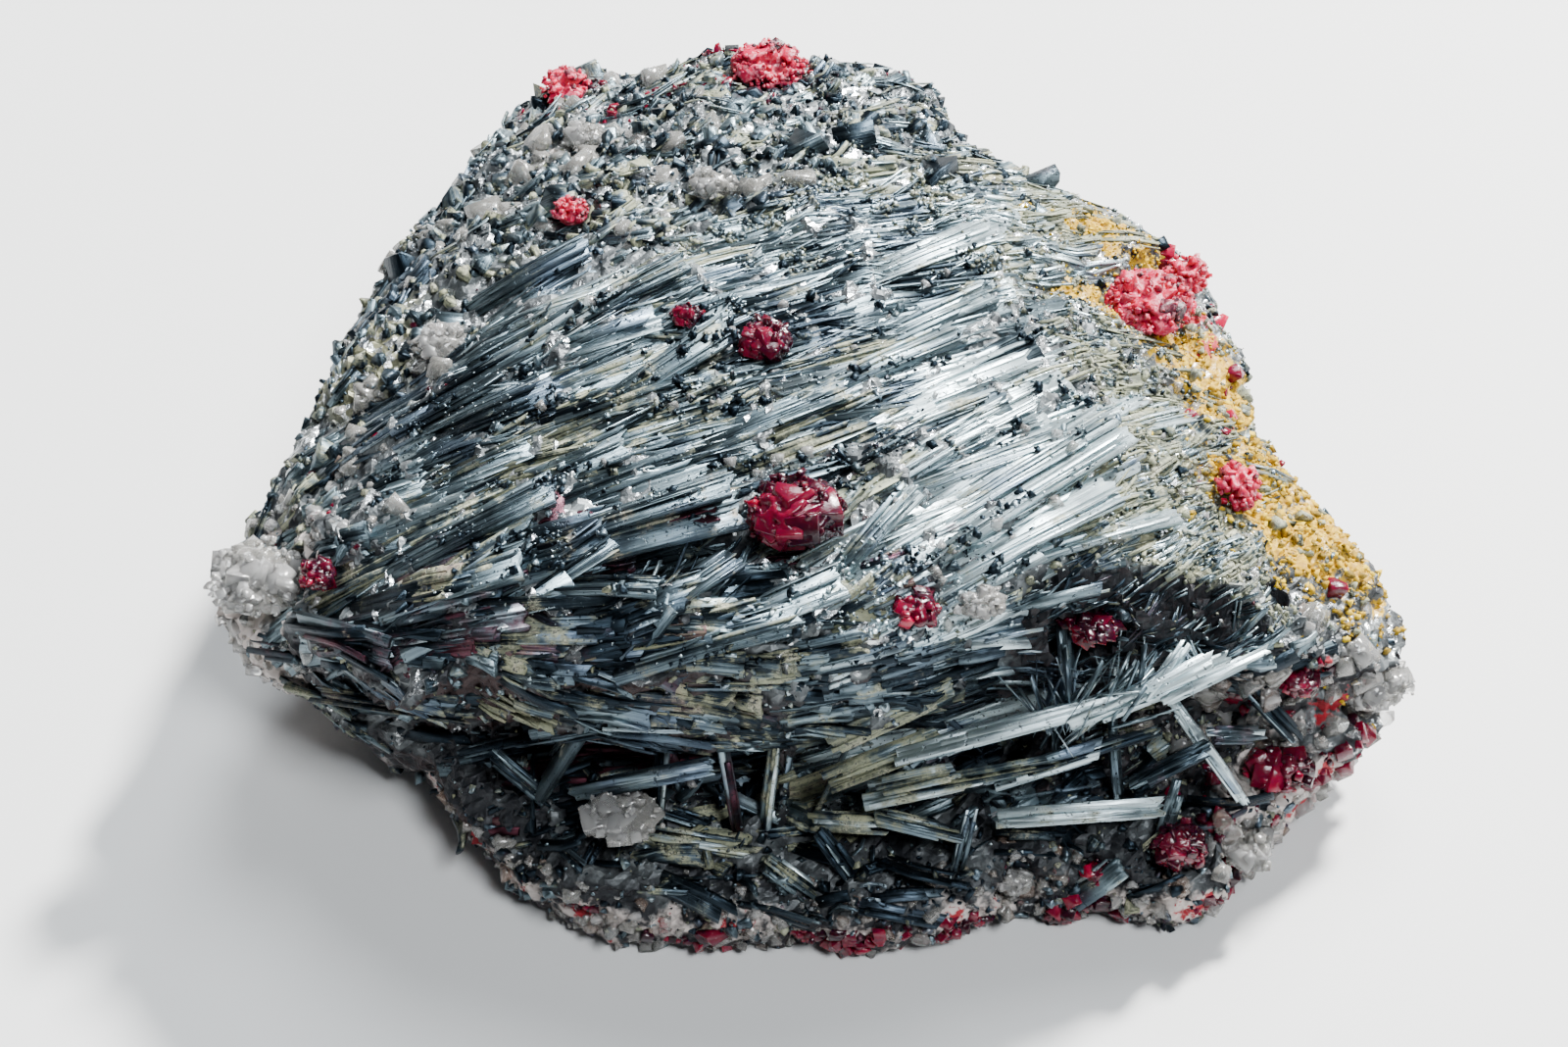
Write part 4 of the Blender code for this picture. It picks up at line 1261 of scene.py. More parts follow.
layFields("faceBlades", faceFields, 11)
layFields("slivers", sliverFields, 12)
layFields("sideBlades", sideFields, 13)

# Main blades of the crystal face: foot and tip on the plan, width and lift, mm
longBlades = [
    ((-16.5, -18.8), (-3.6, -16.8), 1.6, 0.5), ((-17.0, -17.4), (-4.2, -15.6), 1.3, 0.6),
    ((-13.4, -9.4), (-4.5, -4.2), 1.5, 0.7), ((-12.2, -10.4), (-3.8, -6.0), 1.1, 0.4),
    ((-7.8, -12.4), (2.0, -8.4), 1.2, 0.3), ((3.6, -15.4), (15.4, -9.4), 1.2, 0.4),
    ((3.4, -14.2), (13.0, -8.8), 1.0, 0.2), ((3.8, -18.9), (17.2, -8.4), 1.3, 0.9),
    ((6.4, -19.2), (18.2, -9.6), 1.2, 0.8), ((4.4, -21.2), (17.2, -13.8), 1.4, 0.8),
    ((4.6, -22.2), (12.6, -17.6), 1.2, 0.3), ((1.4, -20.4), (5.8, -15.4), 0.9, 0.7),
    ((11.6, -18.2), (21.0, -13.0), 1.0, 0.1), ((-16.0, -23.6), (-7.6, -21.8), 1.7, 0.4),
    ((-9.0, -22.4), (-4.2, -19.2), 1.4, 0.3), ((-23.2, -20.4), (-13.2, -19.0), 1.8, 0.3),
    ((-24.4, -18.2), (-15.8, -18.4), 1.8, 0.2), ((-14.2, -19.8), (-8.2, -21.6), 0.9, 0.9),
    ((-24.4, -15.6), (-14.2, -14.0), 1.4, 0.2), ((-21.6, -13.6), (-10.2, -11.6), 1.3, 0.2),
    ((-20.8, 2.4), (-13.2, 4.6), 1.0, 0.3), ((-15.8, -1.6), (-7.2, 1.6), 1.1, 0.2),
    ((-0.6, -9.2), (8.8, -3.4), 1.1, 0.3), ((2.0, -5.2), (10.8, 0.2), 1.0, 0.2),
    ((3.0, 0.4), (11.6, 6.6), 1.1, 0.2), ((-22.8, -7.6), (-14.6, -6.8), 1.1, 0.2),
    ((-11.0, -23.9), (-0.4, -22.9), 1.6, 0.1), ((-7.2, -23.4), (1.8, -21.3), 1.5, 0.4),
    ((-19.0, -21.0), (-11.0, -17.6), 1.4, 0.4),
]
# Blades that cross the open ledge in front: foot, tip, width in mm, how silvery, how much patina. How
# silvery is partly painted light: high for painted highlights on the lit right, low for painted shade on
# the left
ledgeBlades = [
    ((-1.4, -22.6, 15.0), (-2.6, -25.6, 3.6), 1.9, 0.45, 0.5),
    ((-14.0, -23.8, 8.0), (-5.4, -25.0, 12.6), 1.0, 0.6, 0.1),
    ((-11.5, -25.2, 6.6), (-2.6, -26.8, 6.4), 1.6, 0.45, 0.4),
    ((-15.6, -27.2, 4.2), (-6.6, -28.4, 5.2), 1.8, 0.15, 0.1),
    ((-3.0, -27.6, 7.4), (2.6, -29.0, 2.2), 1.4, 0.5, 0.4),
    ((0.4, -26.8, 8.8), (3.8, -28.2, 2.6), 1.2, 0.1, 0.1),
    ((-5.0, -23.2, 14.0), (-3.9, -25.6, 5.6), 1.0, 0.2, 0.1),
    ((-8.2, -22.4, 13.6), (-9.0, -25.2, 5.0), 1.0, 0.15, 0.1),
    ((-0.8, -25.2, 7.2), (4.6, -26.2, 8.2), 1.4, 0.6, 0.6),
    ((4.6, -25.4, 13.4), (19.0, -22.2, 15.4), 1.6, 1.4, 0.1),
    ((14.4, -23.8, 14.6), (23.8, -20.4, 16.4), 1.4, 1.2, 0.1),
    ((2.4, -25.8, 10.4), (10.0, -25.2, 12.4), 2.0, 0.8, 0.6),
    ((9.4, -25.2, 10.6), (17.0, -23.6, 12.4), 1.2, 0.7, 0.1),
    ((10.6, -25.8, 8.4), (20.4, -25.2, 8.8), 1.2, 1.0, 0.5),
    ((20.4, -21.8, 14.6), (25.4, -24.2, 7.4), 0.8, 1.0, 0.1),
    ((9.2, -25.8, 9.6), (8.2, -27.8, 3.4), 1.0, 0.6, 0.1),
    ((25.2, -19.4, 12.6), (28.6, -20.8, 9.0), 1.2, 0.0, 0.1),
    ((-16.0, -23.6, 13.0), (-9.2, -23.8, 15.4), 1.3, 0.3, 0.1),
    ((1.0, -24.6, 14.2), (8.0, -22.8, 17.4), 1.7, 0.7, 0.8),
    ((0.6, -25.4, 11.4), (7.4, -24.0, 14.0), 1.7, 0.5, 0.6),
    ((-3.4, -24.4, 16.4), (5.0, -23.0, 17.6), 1.6, 0.5, 1.0),
    ((-29.0, -18.6, 10.6), (-18.6, -22.2, 13.2), 1.3, 0.0, 0.1),
    ((-33.0, -15.6, 11.2), (-22.6, -19.6, 14.2), 1.2, 0.0, 0.1),
    ((-18.4, -22.8, 10.8), (-13.4, -24.4, 5.4), 1.1, 0.2, 0.1),
    ((14.2, -19.6, 18.6), (14.8, -22.8, 12.6), 1.0, 0.5, 0.1),
    ((21.4, -23.8, 9.6), (20.2, -26.2, 4.2), 1.0, 0.5, 0.1),
    ((16.0, -23.2, 14.9), (22.8, -20.8, 17.4), 0.9, 1.3, 0.1),
    ((18.8, -22.8, 15.4), (21.2, -20.2, 18.0), 0.8, 1.2, 0.1),
    ((19.6, -22.4, 15.0), (26.0, -19.6, 16.4), 0.8, 0.9, 0.1),
    ((12.2, -24.8, 11.6), (20.0, -22.6, 12.8), 0.9, 0.3, 0.4),
    ((5.6, -25.6, 11.0), (13.8, -25.0, 12.8), 1.2, 0.3, 0.6),
    ((18.2, -24.8, 10.2), (22.8, -23.4, 12.4), 0.9, 0.2, 0.1),
    ((22.4, -23.0, 12.8), (26.4, -21.4, 10.6), 1.0, 0.1, 0.1),
    ((3.6, -26.2, 9.4), (8.8, -26.6, 7.8), 1.1, 0.5, 0.5),
]
mainCare = {
    "face": {
        "forms": ["slat", "board"], "splay": (1.1, 1.5), "tilt": 0.12, "ragged": 0.25,
        "bands": ["bandB", "bandC"], "strips": (4, 7), "width": (0.18, 0.34), "banded": 1, "over": True,
    },
    "ledge": {
        "forms": ["slat", "board", "ridge"], "splay": (0.9, 1.1), "tilt": 0.25, "ragged": 0.3,
        "bands": ["bandA", "bandE"], "strips": (3, 7), "width": (0.22, 0.5), "banded": 0.5, "vary": 0.4,
    },
    "proud": 0.6,  # mm that a tip stands over the rock
    "facing": (0.11, -0.5, 0.86),  # where the blades of the ledge turn their broad sides
    "sprayRise": (0.0, 0.62, 0.78),  # the needle sprays face forwards and up
    "seed": 21,
}
# Needles that spread from one root in an open place: root, how many, length and spread in degrees
needleSprays = [
    {"root": (14.2, -23.2, 13.4), "count": 46, "length": (2.2, 5.4), "spread": (35, 125)},
    {"root": (17.4, -22.2, 14.8), "count": 36, "length": (1.8, 4.6), "spread": (15, 95)},
    {"root": (21.6, -20.6, 15.8), "count": 14, "length": (1.2, 2.8), "spread": (95, 175)},
    {"root": (-9.0, -19.8, 21.2), "count": 12, "length": (1.5, 3.4), "spread": (5, 80)},
]


def rockTop(x, y):
    hit = fromAbove(rockTree, x, y)
    return np.array((x, y, 10.0 if hit is None else hit.z))


def layFaceBlade(copies, foot, tip, width, lift, rng):
    # a long bundle, its foot in the rock and its tip free
    start, end = rockTop(*foot), rockTop(*tip)
    start[2] += mainCare["proud"] * 0.3
    end[2] += mainCare["proud"] + lift
    # painted light: the long blades are coloured lighter towards the lit right and darker towards the
    # shaded left
    tint = 0.35 + 0.5 * max(0.0, min(1.0, (foot[0] + 12) / 18)) + rng.normal() * 0.08
    look = (tint, 0.3, 0.35 if foot[1] < -17 and foot[0] < -8 else 0.0)
    layStrips(copies, mainCare["face"], start, end, np.array((0, 0, 1.0)), 0.15, width * 1.3, look, rng)


def layLedgeBlade(copies, foot, tip, width, tint, patina, rng):
    # a stout crystal, a second one beside it, and boards broken off along them
    foot, tip = np.array(foot), np.array(tip)
    run = unit(tip - foot)
    facing = np.array(mainCare["facing"]) + rng.normal(size=3) * 0.14
    facing = unit(facing - run * facing.dot(run))
    side = np.cross(facing, run)
    look = (tint, patina + rng.normal() * 0.12, max(0.0, 0.3 - 0.4 * tint + rng.normal() * 0.15))
    for form, sign, sunk in (("stout", 1, 0.0), ("beam", -1, 0.1), ("stout", 1, 0.35)):
        if rng.random() < 0.25:
            continue
        shift = side * width * rng.uniform(0.12, 0.34) * sign - facing * width * sunk
        first, last = rng.random() * 0.25, 1 - rng.random() * 0.3
        size = width * rng.uniform(0.35, 0.62)
        a, b = foot + (tip - foot) * first + shift, foot + (tip - foot) * last + shift
        up = facing + side * rng.normal() * 0.3
        lay(copies, form, a, b, up, size, size * rng.uniform(0.8, 1.2), look, rng)
    front = facing * width * 0.14
    layStrips(copies, mainCare["ledge"], foot + front, tip + front, facing, 0.0, width * 0.7, look, rng)


def layNeedles(copies, care, rng):
    rise = np.array(mainCare["sprayRise"])
    for k in range(care["count"]):
        angle = math.radians(rng.uniform(*care["spread"]))
        way = unit(np.array((math.cos(angle), 0, 0)) + rise * math.sin(angle) + rng.normal(size=3) * 0.16)
        foot = np.array(care["root"]) + rng.normal(size=3) * 0.6
        size = rng.uniform(0.1, 0.3)
        look = (rng.uniform(0.2, 1.0), 0.25, 0.0)
        facing = unit(np.cross(way, rng.normal(size=3)))
        form = "thread" if size < 0.2 else "slat"
        lay(copies, form, foot, foot + way * rng.uniform(*care["length"]), facing, size, size, look, rng)


mainCopies = Copies()
mainRng = np.random.default_rng(mainCare["seed"])
for foot, tip, width, lift in longBlades:
    layFaceBlade(mainCopies, foot, tip, width, lift, mainRng)
for foot, tip, width, tint, patina in ledgeBlades:
    layLedgeBlade(mainCopies, foot, tip, width, tint, patina, mainRng)
for care in needleSprays:
    layNeedles(mainCopies, care, mainRng)
visual.append((mainCopies.join("mainBlades", finishes["blades"]), "stibnite"))


depsgraph = bpy.context.evaluated_depsgraph_get()
bladeTrees = [BVHTree.FromObject(piece, depsgraph) for piece, slotName in visual]


def onBlades(place):
    # lifts a place on the rock to the top of the blades over it
    for tree in bladeTrees:
        hit = fromAbove(tree, place[0], place[1])
        if hit is not None and place[2] < hit.z < place[2] + 2.2:
            place = np.array(hit)
    return place


def scatterGrains(name, fields, kinds, finish, slot, seed):
    copies = Copies()
    rng = np.random.default_rng(seed)
    for care in fields.values():
        for seat in seats(care, rng):
            size = between(care["size"], rng.random() ** 2)
            rise = size * (rng.uniform(-0.3, 0.15) - care.get("sunk", 0))
            rise += care.get("proud", 0) * rng.random()
            place = triMiddle[seat] + triNormal[seat] * rise
            if rng.random() < care.get("onTop", 0):
                place = onBlades(place)
            turn = tumble(rng) @ Matrix.Rotation(rng.uniform(0, fullTurn), 3, "Y")
            tint = between(care["tint"], rng.random() ** care.get("rare", 1.0))
            stain = max(0.0, rng.normal(care.get("stain", 0), 0.2))
            look = (tint, max(0.0, care.get("patina", 0.0) + rng.normal() * 0.2), stain)
            form = forms[pick(care.get("forms", kinds), rng)]
            copies.put(form, place, np.array(turn) * size, look, rng)
    visual.append((copies.join(name, finish), slot))


# Fields of grains. size in mm; rare: how few are light; onTop: share that lies on the blades; sunk and
# proud: how deep in or high over the rock; the rest as for the blades
angular = ["chip", "grit", "flake", "splinter", "flake"]
crystals = ["block", "wedge", "twin"]
rockGrains = {
    "onOchre": {
        "at": (26, -4), "reach": (9, 14), "count": 240, "size": (0.3, 1.1), "tint": (0.0, 0.7),
        "patina": 0.9, "slope": (-0.3, 1.1), "ochre": (0.5, 9),
    },
    "northLumps": {
        "at": (-6, 18), "reach": (22, 14), "count": 170, "size": (1.1, 2.9), "tint": (-0.1, 0.7),
        "patina": 0.35, "bladed": (-1, 0.5), "rare": 1.3, "ochre": (-9, 0.7), "sunk": 0.25,
    },
    "westLumps": {
        "at": (-25, 0), "reach": (9, 16), "count": 80, "size": (1.0, 2.4), "tint": (-0.2, 0.45),
        "patina": 0.4, "bladed": (-1, 0.5), "slope": (-0.4, 1.1), "sunk": 0.25,
    },
    "north": {
        "at": (-6, 18), "reach": (22, 14), "count": 1560, "size": (0.2, 1.2), "tint": (-0.1, 0.65),
        "patina": 0.3, "bladed": (-1, 0.6), "rare": 1.6, "ochre": (-9, 0.7),
    },
    "east": {
        "at": (20, -6), "reach": (11, 17), "count": 1150, "size": (0.15, 0.8), "tint": (0.0, 0.7),
        "patina": 0.65, "bladed": (-1, 0.6), "rare": 1.6, "ochre": (-9, 0.55),
    },
    "west": {
        "at": (-25, -2), "reach": (10, 18), "count": 700, "size": (0.2, 1.1), "tint": (-0.1, 0.5),
        "patina": 0.35, "slope": (-0.5, 1.1), "bladed": (-1, 0.6), "rare": 1.6,
    },
    "face": {
        "at": (-2, -6), "reach": (24, 18), "count": 1300, "size": (0.15, 0.65), "tint": (-0.2, 0.7),
        "patina": 0.1, "crust": (0.5, 9), "bladed": (0.4, 2), "rare": 2.2, "onTop": 0.8,
    },
    "frost": {
        "at": (3, -21), "reach": (6, 3), "count": 420, "size": (0.15, 0.5), "tint": (0.6, 1.3),
        "forms": ["chip", "flake"], "onTop": 0.8,
    },
    "ledge": {
        "at": (2, -25), "reach": (26, 6), "count": 400, "size": (0.2, 1.0), "tint": (-0.2, 0.5),
        "slope": (-0.5, 1.1), "height": (2, 13), "patina": 0.3, "onTop": 0.5,
    },
    "sides": {
        "at": (0, 0), "reach": (37, 31), "count": 900, "size": (0.25, 1.0), "tint": (0.0, 0.7),
        "slope": (-0.8, 0.4), "height": (1, 24), "stain": 0.2, "patina": 0.2,
    },
    "rim": {
        "at": (2, -27), "reach": (34, 8), "count": 380, "size": (0.2, 0.9), "tint": (-0.1, 0.6),
        "slope": (-0.9, 1.1), "height": (0.2, 5.5), "stain": 0.35, "patina": 0.2,
    },
}
specks = {
    "upper": {
        "at": (2, 10), "reach": (20, 8), "count": 2600, "size": (0.12, 0.5), "tint": (0.2, 0.9),
        "patina": 0.5, "crust": (0.2, 9), "bladed": (0.2, 2), "rare": 1.4, "onTop": 0.65,
    },
    "face": {
        "at": (-2, -6), "reach": (24, 18), "count": 3600, "size": (0.08, 0.3), "tint": (-0.2, 1.3),
        "patina": 0.1, "crust": (0.45, 9), "bladed": (0.3, 2), "rare": 1.9, "onTop": 0.85,
    },
    "loose": {
        "at": (-2, -6), "reach": (24, 18), "count": 1400, "size": (0.08, 0.22), "tint": (0.7, 1.3),
        "patina": 0.1, "bladed": (0.3, 2), "onTop": 1,
    },
    "north": {
        "at": (-6, 16), "reach": (22, 14), "count": 2600, "size": (0.12, 0.4), "tint": (-0.1, 1.0),
        "patina": 0.3, "bladed": (-1, 0.6), "rare": 1.6, "proud": 0.3, "ochre": (-9, 0.7),
    },
    "east": {
        "at": (20, -6), "reach": (11, 17), "count": 2200, "size": (0.1, 0.4), "tint": (0.0, 1.2),
        "patina": 0.5, "bladed": (-1, 0.6), "rare": 1.8, "proud": 0.3, "ochre": (-9, 0.55),
    },
    "sides": {
        "at": (0, 4), "reach": (38, 30), "count": 2600, "size": (0.14, 0.45), "tint": (-0.1, 1.0),
        "slope": (-0.9, 0.4), "height": (0.5, 24), "patina": 0.25, "rare": 1.6,
    },
    "front": {
        "at": (2, -24), "reach": (32, 8), "count": 1500, "size": (0.12, 0.4), "tint": (-0.2, 1.0),
        "slope": (-0.6, 1.1), "height": (1, 22), "patina": 0.3, "rare": 2.0, "onTop": 0.6,
    },
}
quartzGrains = {
    "rim": {
        "at": (2, -27), "reach": (34, 8), "count": 300, "size": (0.3, 1.2), "tint": (0.0, 0.7),
        "slope": (-0.9, 1.1), "height": (0.2, 5.5), "stain": 0.4, "crust": (-0.3, 9),
    },
    "rightRim": {
        "at": (29, -20), "reach": (9, 7), "count": 300, "size": (0.3, 1.7), "tint": (0.0, 0.9),
        "slope": (-0.9, 1.1), "height": (0.5, 15), "stain": 0.3, "crust": (-0.2, 9), "ochre": (-9, 0.3),
    },
    "westTip": {
        "at": (-31.5, -12.5), "reach": (6, 5.5), "count": 240, "size": (0.3, 1.2), "tint": (0.2, 1.0),
        "slope": (-0.6, 1.1), "height": (6, 20), "stain": 0.1,
    },
    "north": {
        "at": (-12, 18), "reach": (14, 12), "count": 150, "size": (0.3, 2.2), "tint": (-0.2, 0.4),
        "sunk": 0.1, "stain": 0.1, "crust": (0.1, 9), "bladed": (-1, 0.5),
    },
    "westSide": {
        "at": (-24, 0), "reach": (9, 16), "count": 90, "size": (0.2, 1.6), "tint": (-0.2, 0.4),
        "sunk": 0.1, "slope": (-0.3, 1.1), "stain": 0.1, "crust": (0.2, 9),
    },
    "east": {
        "at": (18, -6), "reach": (10, 17), "count": 80, "size": (0.2, 0.7), "tint": (0.2, 0.9),
        "stain": 0.2, "crust": (0.2, 9), "bladed": (-1, 0.5), "ochre": (-9, 0.4),
    },
    "face": {
        "at": (4, -8), "reach": (20, 16), "count": 130, "size": (0.2, 0.8), "tint": (0.2, 1.0),
        "crust": (0.4, 9), "onTop": 0.8,
    },
}
cinnabarGrains = {
    "rim": {
        "at": (4, -29), "reach": (34, 5), "count": 170, "size": (0.3, 1.1), "tint": (0.0, 0.7),
        "slope": (-0.9, 1.1), "height": (0.2, 3.4), "crust": (-9, -0.45),
    },
    "rightRim": {
        "at": (28, -20), "reach": (7, 7), "count": 80, "size": (0.3, 1.2), "tint": (0.0, 0.7),
        "slope": (-0.9, 1.1), "height": (1, 15), "crust": (-9, -0.3),
    },
    "north": {
        "at": (-8, 25), "reach": (15, 6), "count": 110, "size": (0.2, 0.8), "tint": (0.1, 0.8),
        "crust": (-9, -0.3),
    },
    "west": {
        "at": (-26, 0), "reach": (7, 18), "count": 34, "size": (0.2, 0.7), "tint": (0.1, 0.7),
        "slope": (-0.4, 1.1), "crust": (-9, 0),
    },
    "eastSide": {
        "at": (26, 2), "reach": (6, 12), "count": 90, "size": (0.25, 1.1), "tint": (0.3, 1.0),
        "slope": (-0.4, 1.1), "crust": (-9, -0.2),
    },
}
ochreCrumbs = {
    "tip": {
        "at": (28.5, -9), "reach": (9.5, 7), "turn": -45, "count": 2600, "size": (0.12, 0.7),
        "tint": (0.0, 1.0), "slope": (-0.3, 1.1), "ochre": (0.5, 9),
    },
    "rim": {
        "at": (24, 0), "reach": (6, 5), "count": 700, "size": (0.12, 0.4), "tint": (0.1, 1.0),
        "slope": (-0.4, 1.1), "ochre": (0.5, 9),
    },
    "northEast": {
        "at": (19, 9), "reach": (6, 3.5), "turn": -25, "count": 600, "size": (0.12, 0.4),
        "tint": (0.3, 1.0), "ochre": (0.45, 9),
    },
    "inner": {
        "at": (18.5, 2.5), "reach": (6, 3), "turn": -10, "count": 600, "size": (0.12, 0.4),
        "tint": (0.3, 1.0), "ochre": (0.45, 9),
    },
}
scatterGrains("rockGrains", rockGrains, angular, finishes["blades"], "stibnite", 31)
scatterGrains("specks", specks, ["speck"], finishes["blades"], "stibnite", 35)
scatterGrains("quartzGrains", quartzGrains, ["chip", "grit"], finishes["quartz"], "quartz", 32)
scatterGrains("cinnabarGrains", cinnabarGrains, crystals, finishes["cinnabar"], "cinnabar", 33)
scatterGrains("ochreCrumbs", ochreCrumbs, ["speck"], finishes["ochre"], "stibnite", 34)


# Crystal clusters, one piece for each node of the model. big and small: sizes; core: the nugget's share of
# the room; full and uneven: how far the nugget fills it
clusterCare = {
    "cinnabar": {
        "facets": ((0.8, 0.5), (0.36, 0.22)), "forms": crystals, "big": (0.45, 0.85), "bigCount": 7,
        "small": (0.2, 0.6), "smallCount": 12, "tint": (-0.15, 0.4), "core": (0.9, 0.9, 0.88),
        "full": 0.8, "uneven": 0.42,
    },
    "dusty": {
        "facets": ((0.34, 0.12), (0.14, 0.1)), "forms": crystals, "big": (0.25, 0.45), "bigCount": 5,
        "small": (0.12, 0.4), "smallCount": 44, "tint": (0.0, 0.9), "core": (1.0, 1.0, 0.8), "full": 0.66,
        "uneven": 0.85,
    },
    "quartz": {
        "facets": ((0.7, 0.34), (0.3, 0.16)), "forms": ["chip", "grit", "block", "prism"],
        "big": (0.4, 0.8), "bigCount": 8, "small": (0.2, 0.7), "smallCount": 14, "tint": (0.1, 0.9),
        "core": (0.84, 0.84, 0.8), "full": 0.8, "uneven": 0.42,
    },
    "plates": {
        "facets": ((0.8, 0.5), (0.36, 0.22)), "forms": ["flake", "splinter"], "big": (0.7, 1.2),
        "bigCount": 12, "small": (0.2, 0.6), "smallCount": 12, "tint": (-0.3, 0.1),
        "core": (0.6, 0.6, 0.5), "full": 0.8, "uneven": 0.42,
    },
}
dustyNodes = (
    "cinnabar_east_large", "cinnabar_east_rim", "cinnabar_east_low", "cinnabar_northwest",
    "cinnabar_north_peak", "cinnabar_north_corner",
)


def modelNugget(middle, reach, care, seed, fineness):
    # a lump of grown-together crystals: a round start broken into facets
    lump = startForm("ico_sphere", subdivisions=fineness, radius=1)
    span = float(np.cbrt(reach.prod()))
    shaped = []
    for point in pointsOf(lump):
        way = Vector(point)
        place = Vector(point * reach) + Vector((seed * 3.1, seed * 1.7, 0))
        swell = care["full"] + care["uneven"] * noise.noise(way * 1.3 + Vector((seed, 0, 0)))
        swell += 0.5 * care["uneven"] * noise.noise(way * 3.1)
        for size, tall in care["facets"]:
            swell += facetHeight(place, size * span) * tall
        shaped.append(np.array(middle) + point * reach * max(0.35, min(1.0, swell)))
    setPoints(lump, np.array(shaped))
    return readForm(lump)


# painted light: the crystals are coloured lighter on this side, as if light shone through them
paintedGlowWay = np.array((-0.64, -0.64, 0.42))  # light comes through the crystals on this side


def growCluster(nodeName, seed):
    # big crystals grown through each other, with small ones on them
    middle, reach = roomOf(nodeName)
    kind = nodeName.split("_")[0]
    dusty = nodeName in dustyNodes
    dark = nodeName == "cinnabar_dark_plate"
    care = clusterCare["dusty" if dusty else "plates" if dark else kind]
    rng = np.random.default_rng(seed)
    copies = Copies()
    core = reach * care["core"]
    span = float(np.sqrt(reach[0] * reach[1]))
    nugget = modelNugget(middle, core, care, seed, 5 if span > 1.6 else 4)
    ways = (nugget["points"] - middle) / core
    # painted light: the nugget is coloured lighter on that side
    paintedGlow = 0.5 * np.clip(ways @ paintedGlowWay, 0, 1)
    tint = 0.12 + 0.35 * dusty - 0.3 * dark + paintedGlow * (1 - dark)
    look = np.column_stack([tint, np.zeros(len(ways)), np.full(len(ways), 0.05)])
    copies.add(nugget["points"], nugget["corners"], nugget["flat"], nugget["grain"], look)
    crowd = max(1.0, span / 1.4)
    reach = np.minimum(reach, core / 0.78)
    bigCount, smallCount = int(care["bigCount"] * crowd), int(care["smallCount"] * crowd ** 2)
    for k in range(bigCount + smallCount):
        big = k < bigCount
        way = rng.normal(size=3)
        way[2] = abs(way[2]) * 0.8 - 0.15
        way = unit(way)
        if big:
            size = rng.uniform(*care["big"]) * min(span, 2.6)
        else:
            size = rng.uniform(*care["small"]) * min(1.0, span * 0.7)
        size = np.minimum(size, reach * 1.2)
        out = np.maximum(reach - size * (0.52 if big else 0.3), reach * 0.1)
        place = middle + way * out * rng.uniform(0.85, 1.0)
        turn = tumble(rng)
        # painted light: crystals on that side are coloured lighter
        tint = rng.uniform(*care["tint"]) + 0.5 * max(0.0, way @ paintedGlowWay)
        look = (tint, 0.0, max(0.0, rng.normal(0.05, 0.15)))
        form = forms[pick(care["forms"], rng)]
        copies.put(form, place, np.array(turn) * size, look, rng)
    name = kind + "".join(word.title() for word in nodeName.split("_")[1:])
    piece = copies.join(name, finishes["cinnabarDusty" if dusty else kind])
    visual.append((piece, kind))
    return piece


standIns = {}  # which node each cluster takes the place of
for number, nodeName in enumerate(crystalNodes):
    standIns[growCluster(nodeName, 50 + number)] = nodeName
print("clusters grown:", len(standIns))


# Everything goes on the one body, in metres.
visual.append((rockBody, "stibnite"))
for piece, slotName in visual:
    piece.data.transform(Matrix.Scale(1 / perMetre, 4))
    piece.data.update()
    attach(piece, "root")
for piece, nodeName in standIns.items():
    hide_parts(nodeName)
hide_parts("stibnite_mass")
total = sum(len(piece.data.polygons) for piece, slotName in visual)
total += len(rockBody.data.polygons)  # its faces have four sides
print("pieces:", len(visual), "triangles:", total)


# Floor and light, in metres
studio = {
    "floor": (0.74, 0.75, 0.75),
    "sky": 0.14,
    "skyStops": [(0.25, (0.30, 0.31, 0.33)), (0.75, (0.86, 0.90, 0.95))],
    "aim": (0, -0.005, 0.012),
    "lamps": {
        "keyLamp": {"at": (0.42, 0.56, 0.62), "size": 0.12, "power": 42.0, "colour": (1.0, 0.98, 0.95)},
        "softLamp": {"at": (0.06, 0.50, 0.75), "size": 0.35, "power": 7.0, "colour": (0.92, 0.96, 1.0)},
        "frontLamp": {"at": (0.30, -0.33, 0.80), "size": 0.28, "power": 8.0, "colour": (0.94, 0.97, 1.0)},
    },
}


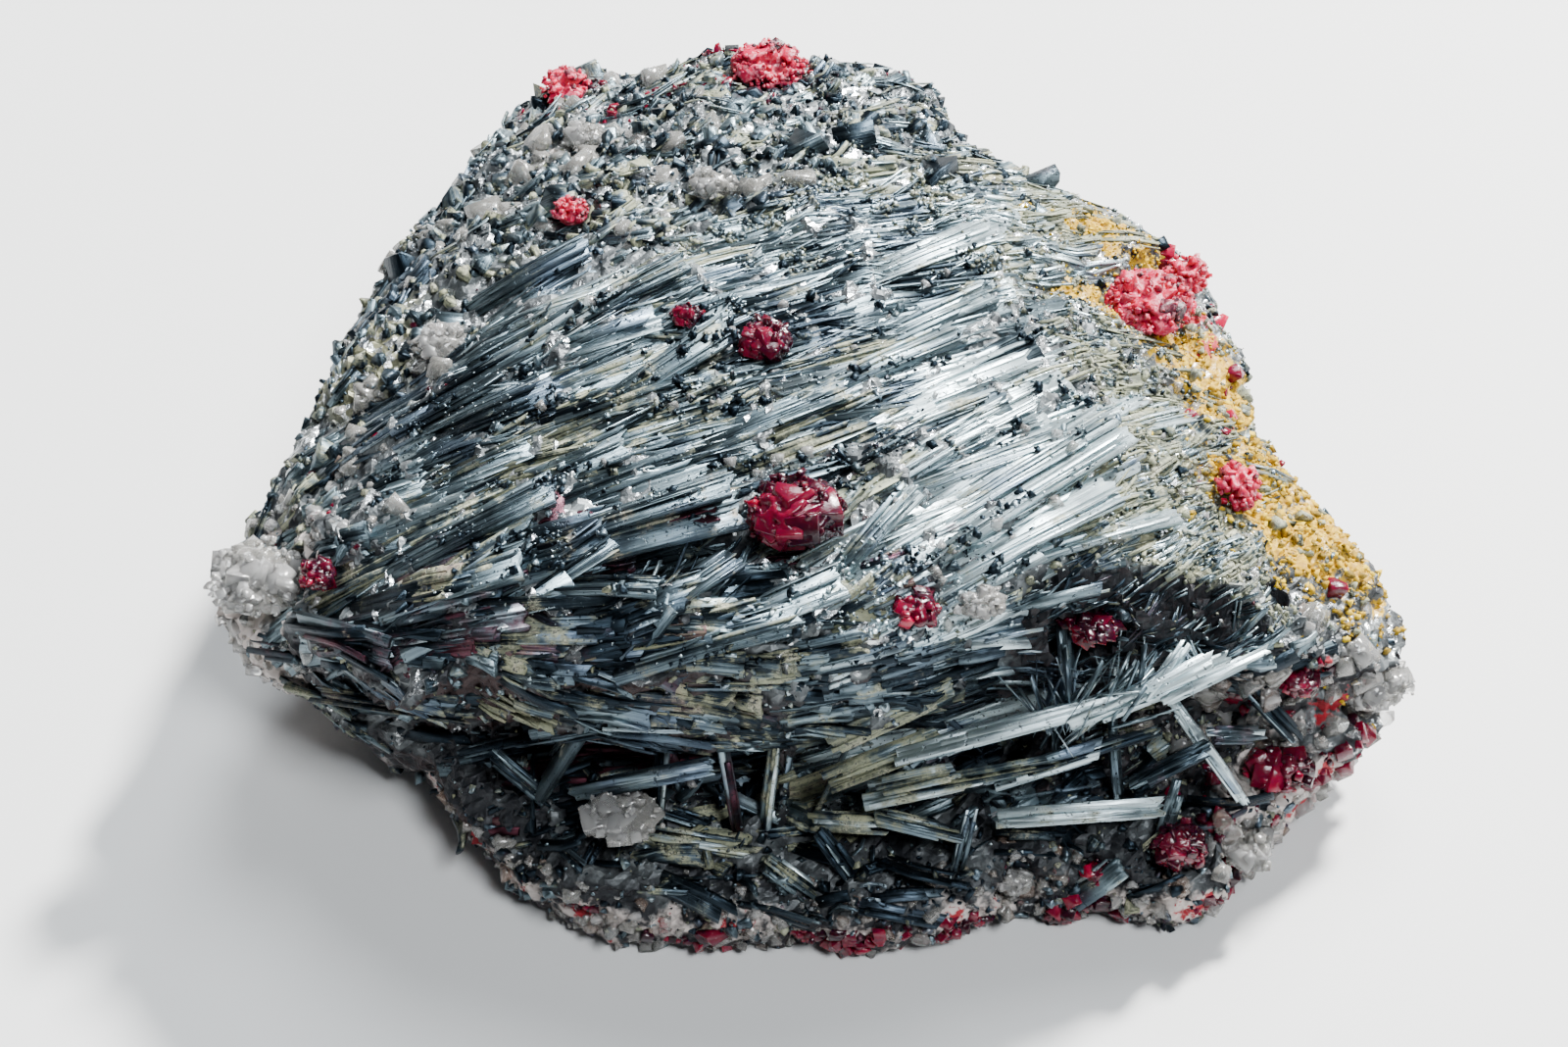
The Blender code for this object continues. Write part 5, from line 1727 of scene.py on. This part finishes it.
def facingTo(place, target):
    # the turn that points a lamp or a camera at a target
    return (Vector(target) - Vector(place)).to_track_quat("-Z", "Y").to_euler()


def hangLamp(name, care):
    deselectAll()
    bpy.ops.object.light_add(type="AREA", location=care["at"])
    lamp = bpy.context.object
    lamp.name = name
    lamp.rotation_euler = facingTo(care["at"], studio["aim"])
    lamp.data.shape = "DISK"
    lamp.data.size = care["size"]
    lamp.data.energy = care["power"]
    lamp.data.color = care["colour"]


for name, care in studio["lamps"].items():
    hangLamp(name, care)

world = bpy.data.worlds.new("studioSky")
bpy.context.scene.world = world
world.use_nodes = True
world.node_tree.nodes.clear()
sky = Wire(world.node_tree)
skyWay = sky.node("ShaderNodeTexCoord")
skyHeight = sky.node("ShaderNodeSeparateXYZ", inputs={0: skyWay}, output=1)
skyRamp = {"stops": studio["skyStops"]}
skyColour = sky.node("ShaderNodeValToRGB", skyRamp, {0: skyHeight * 0.5 + 0.5})
skyLight = sky.node("ShaderNodeBackground", inputs={0: skyColour, 1: studio["sky"]})
sky.node("ShaderNodeOutputWorld", inputs={0: skyLight})

floor = startForm("plane", size=6)
floor.name = "floor"
floorFinish, floorBench = newFinish("paleFloor")
grainy = noiseOn(floorBench, objectPlace(floorBench), 30.0, 3.0, 0.5)
paleColour = grainy.mix(tuple(c * 0.97 for c in studio["floor"]), studio["floor"])
coat(floorBench, {"Base Color": paleColour, "Roughness": 0.6})
floor.data.materials.append(floorFinish)

cameraCare = {
    "target": (-1.5, -6.7, 12.0), "distance": 172.0,  # mm
    "elevation": 50.0, "lens": 65.0, "sensor": 36, "clip": 0.005,
}
target = Vector(cameraCare["target"]) / perMetre
rise = math.radians(cameraCare["elevation"])
place = target + Vector((0, -math.cos(rise), math.sin(rise))) * cameraCare["distance"] / perMetre
bpy.ops.object.camera_add(location=place, rotation=facingTo(place, target))
camera = bpy.context.object
camera.data.lens = cameraCare["lens"]
camera.data.sensor_width = cameraCare["sensor"]
camera.data.clip_start = cameraCare["clip"]
bpy.context.scene.camera = camera
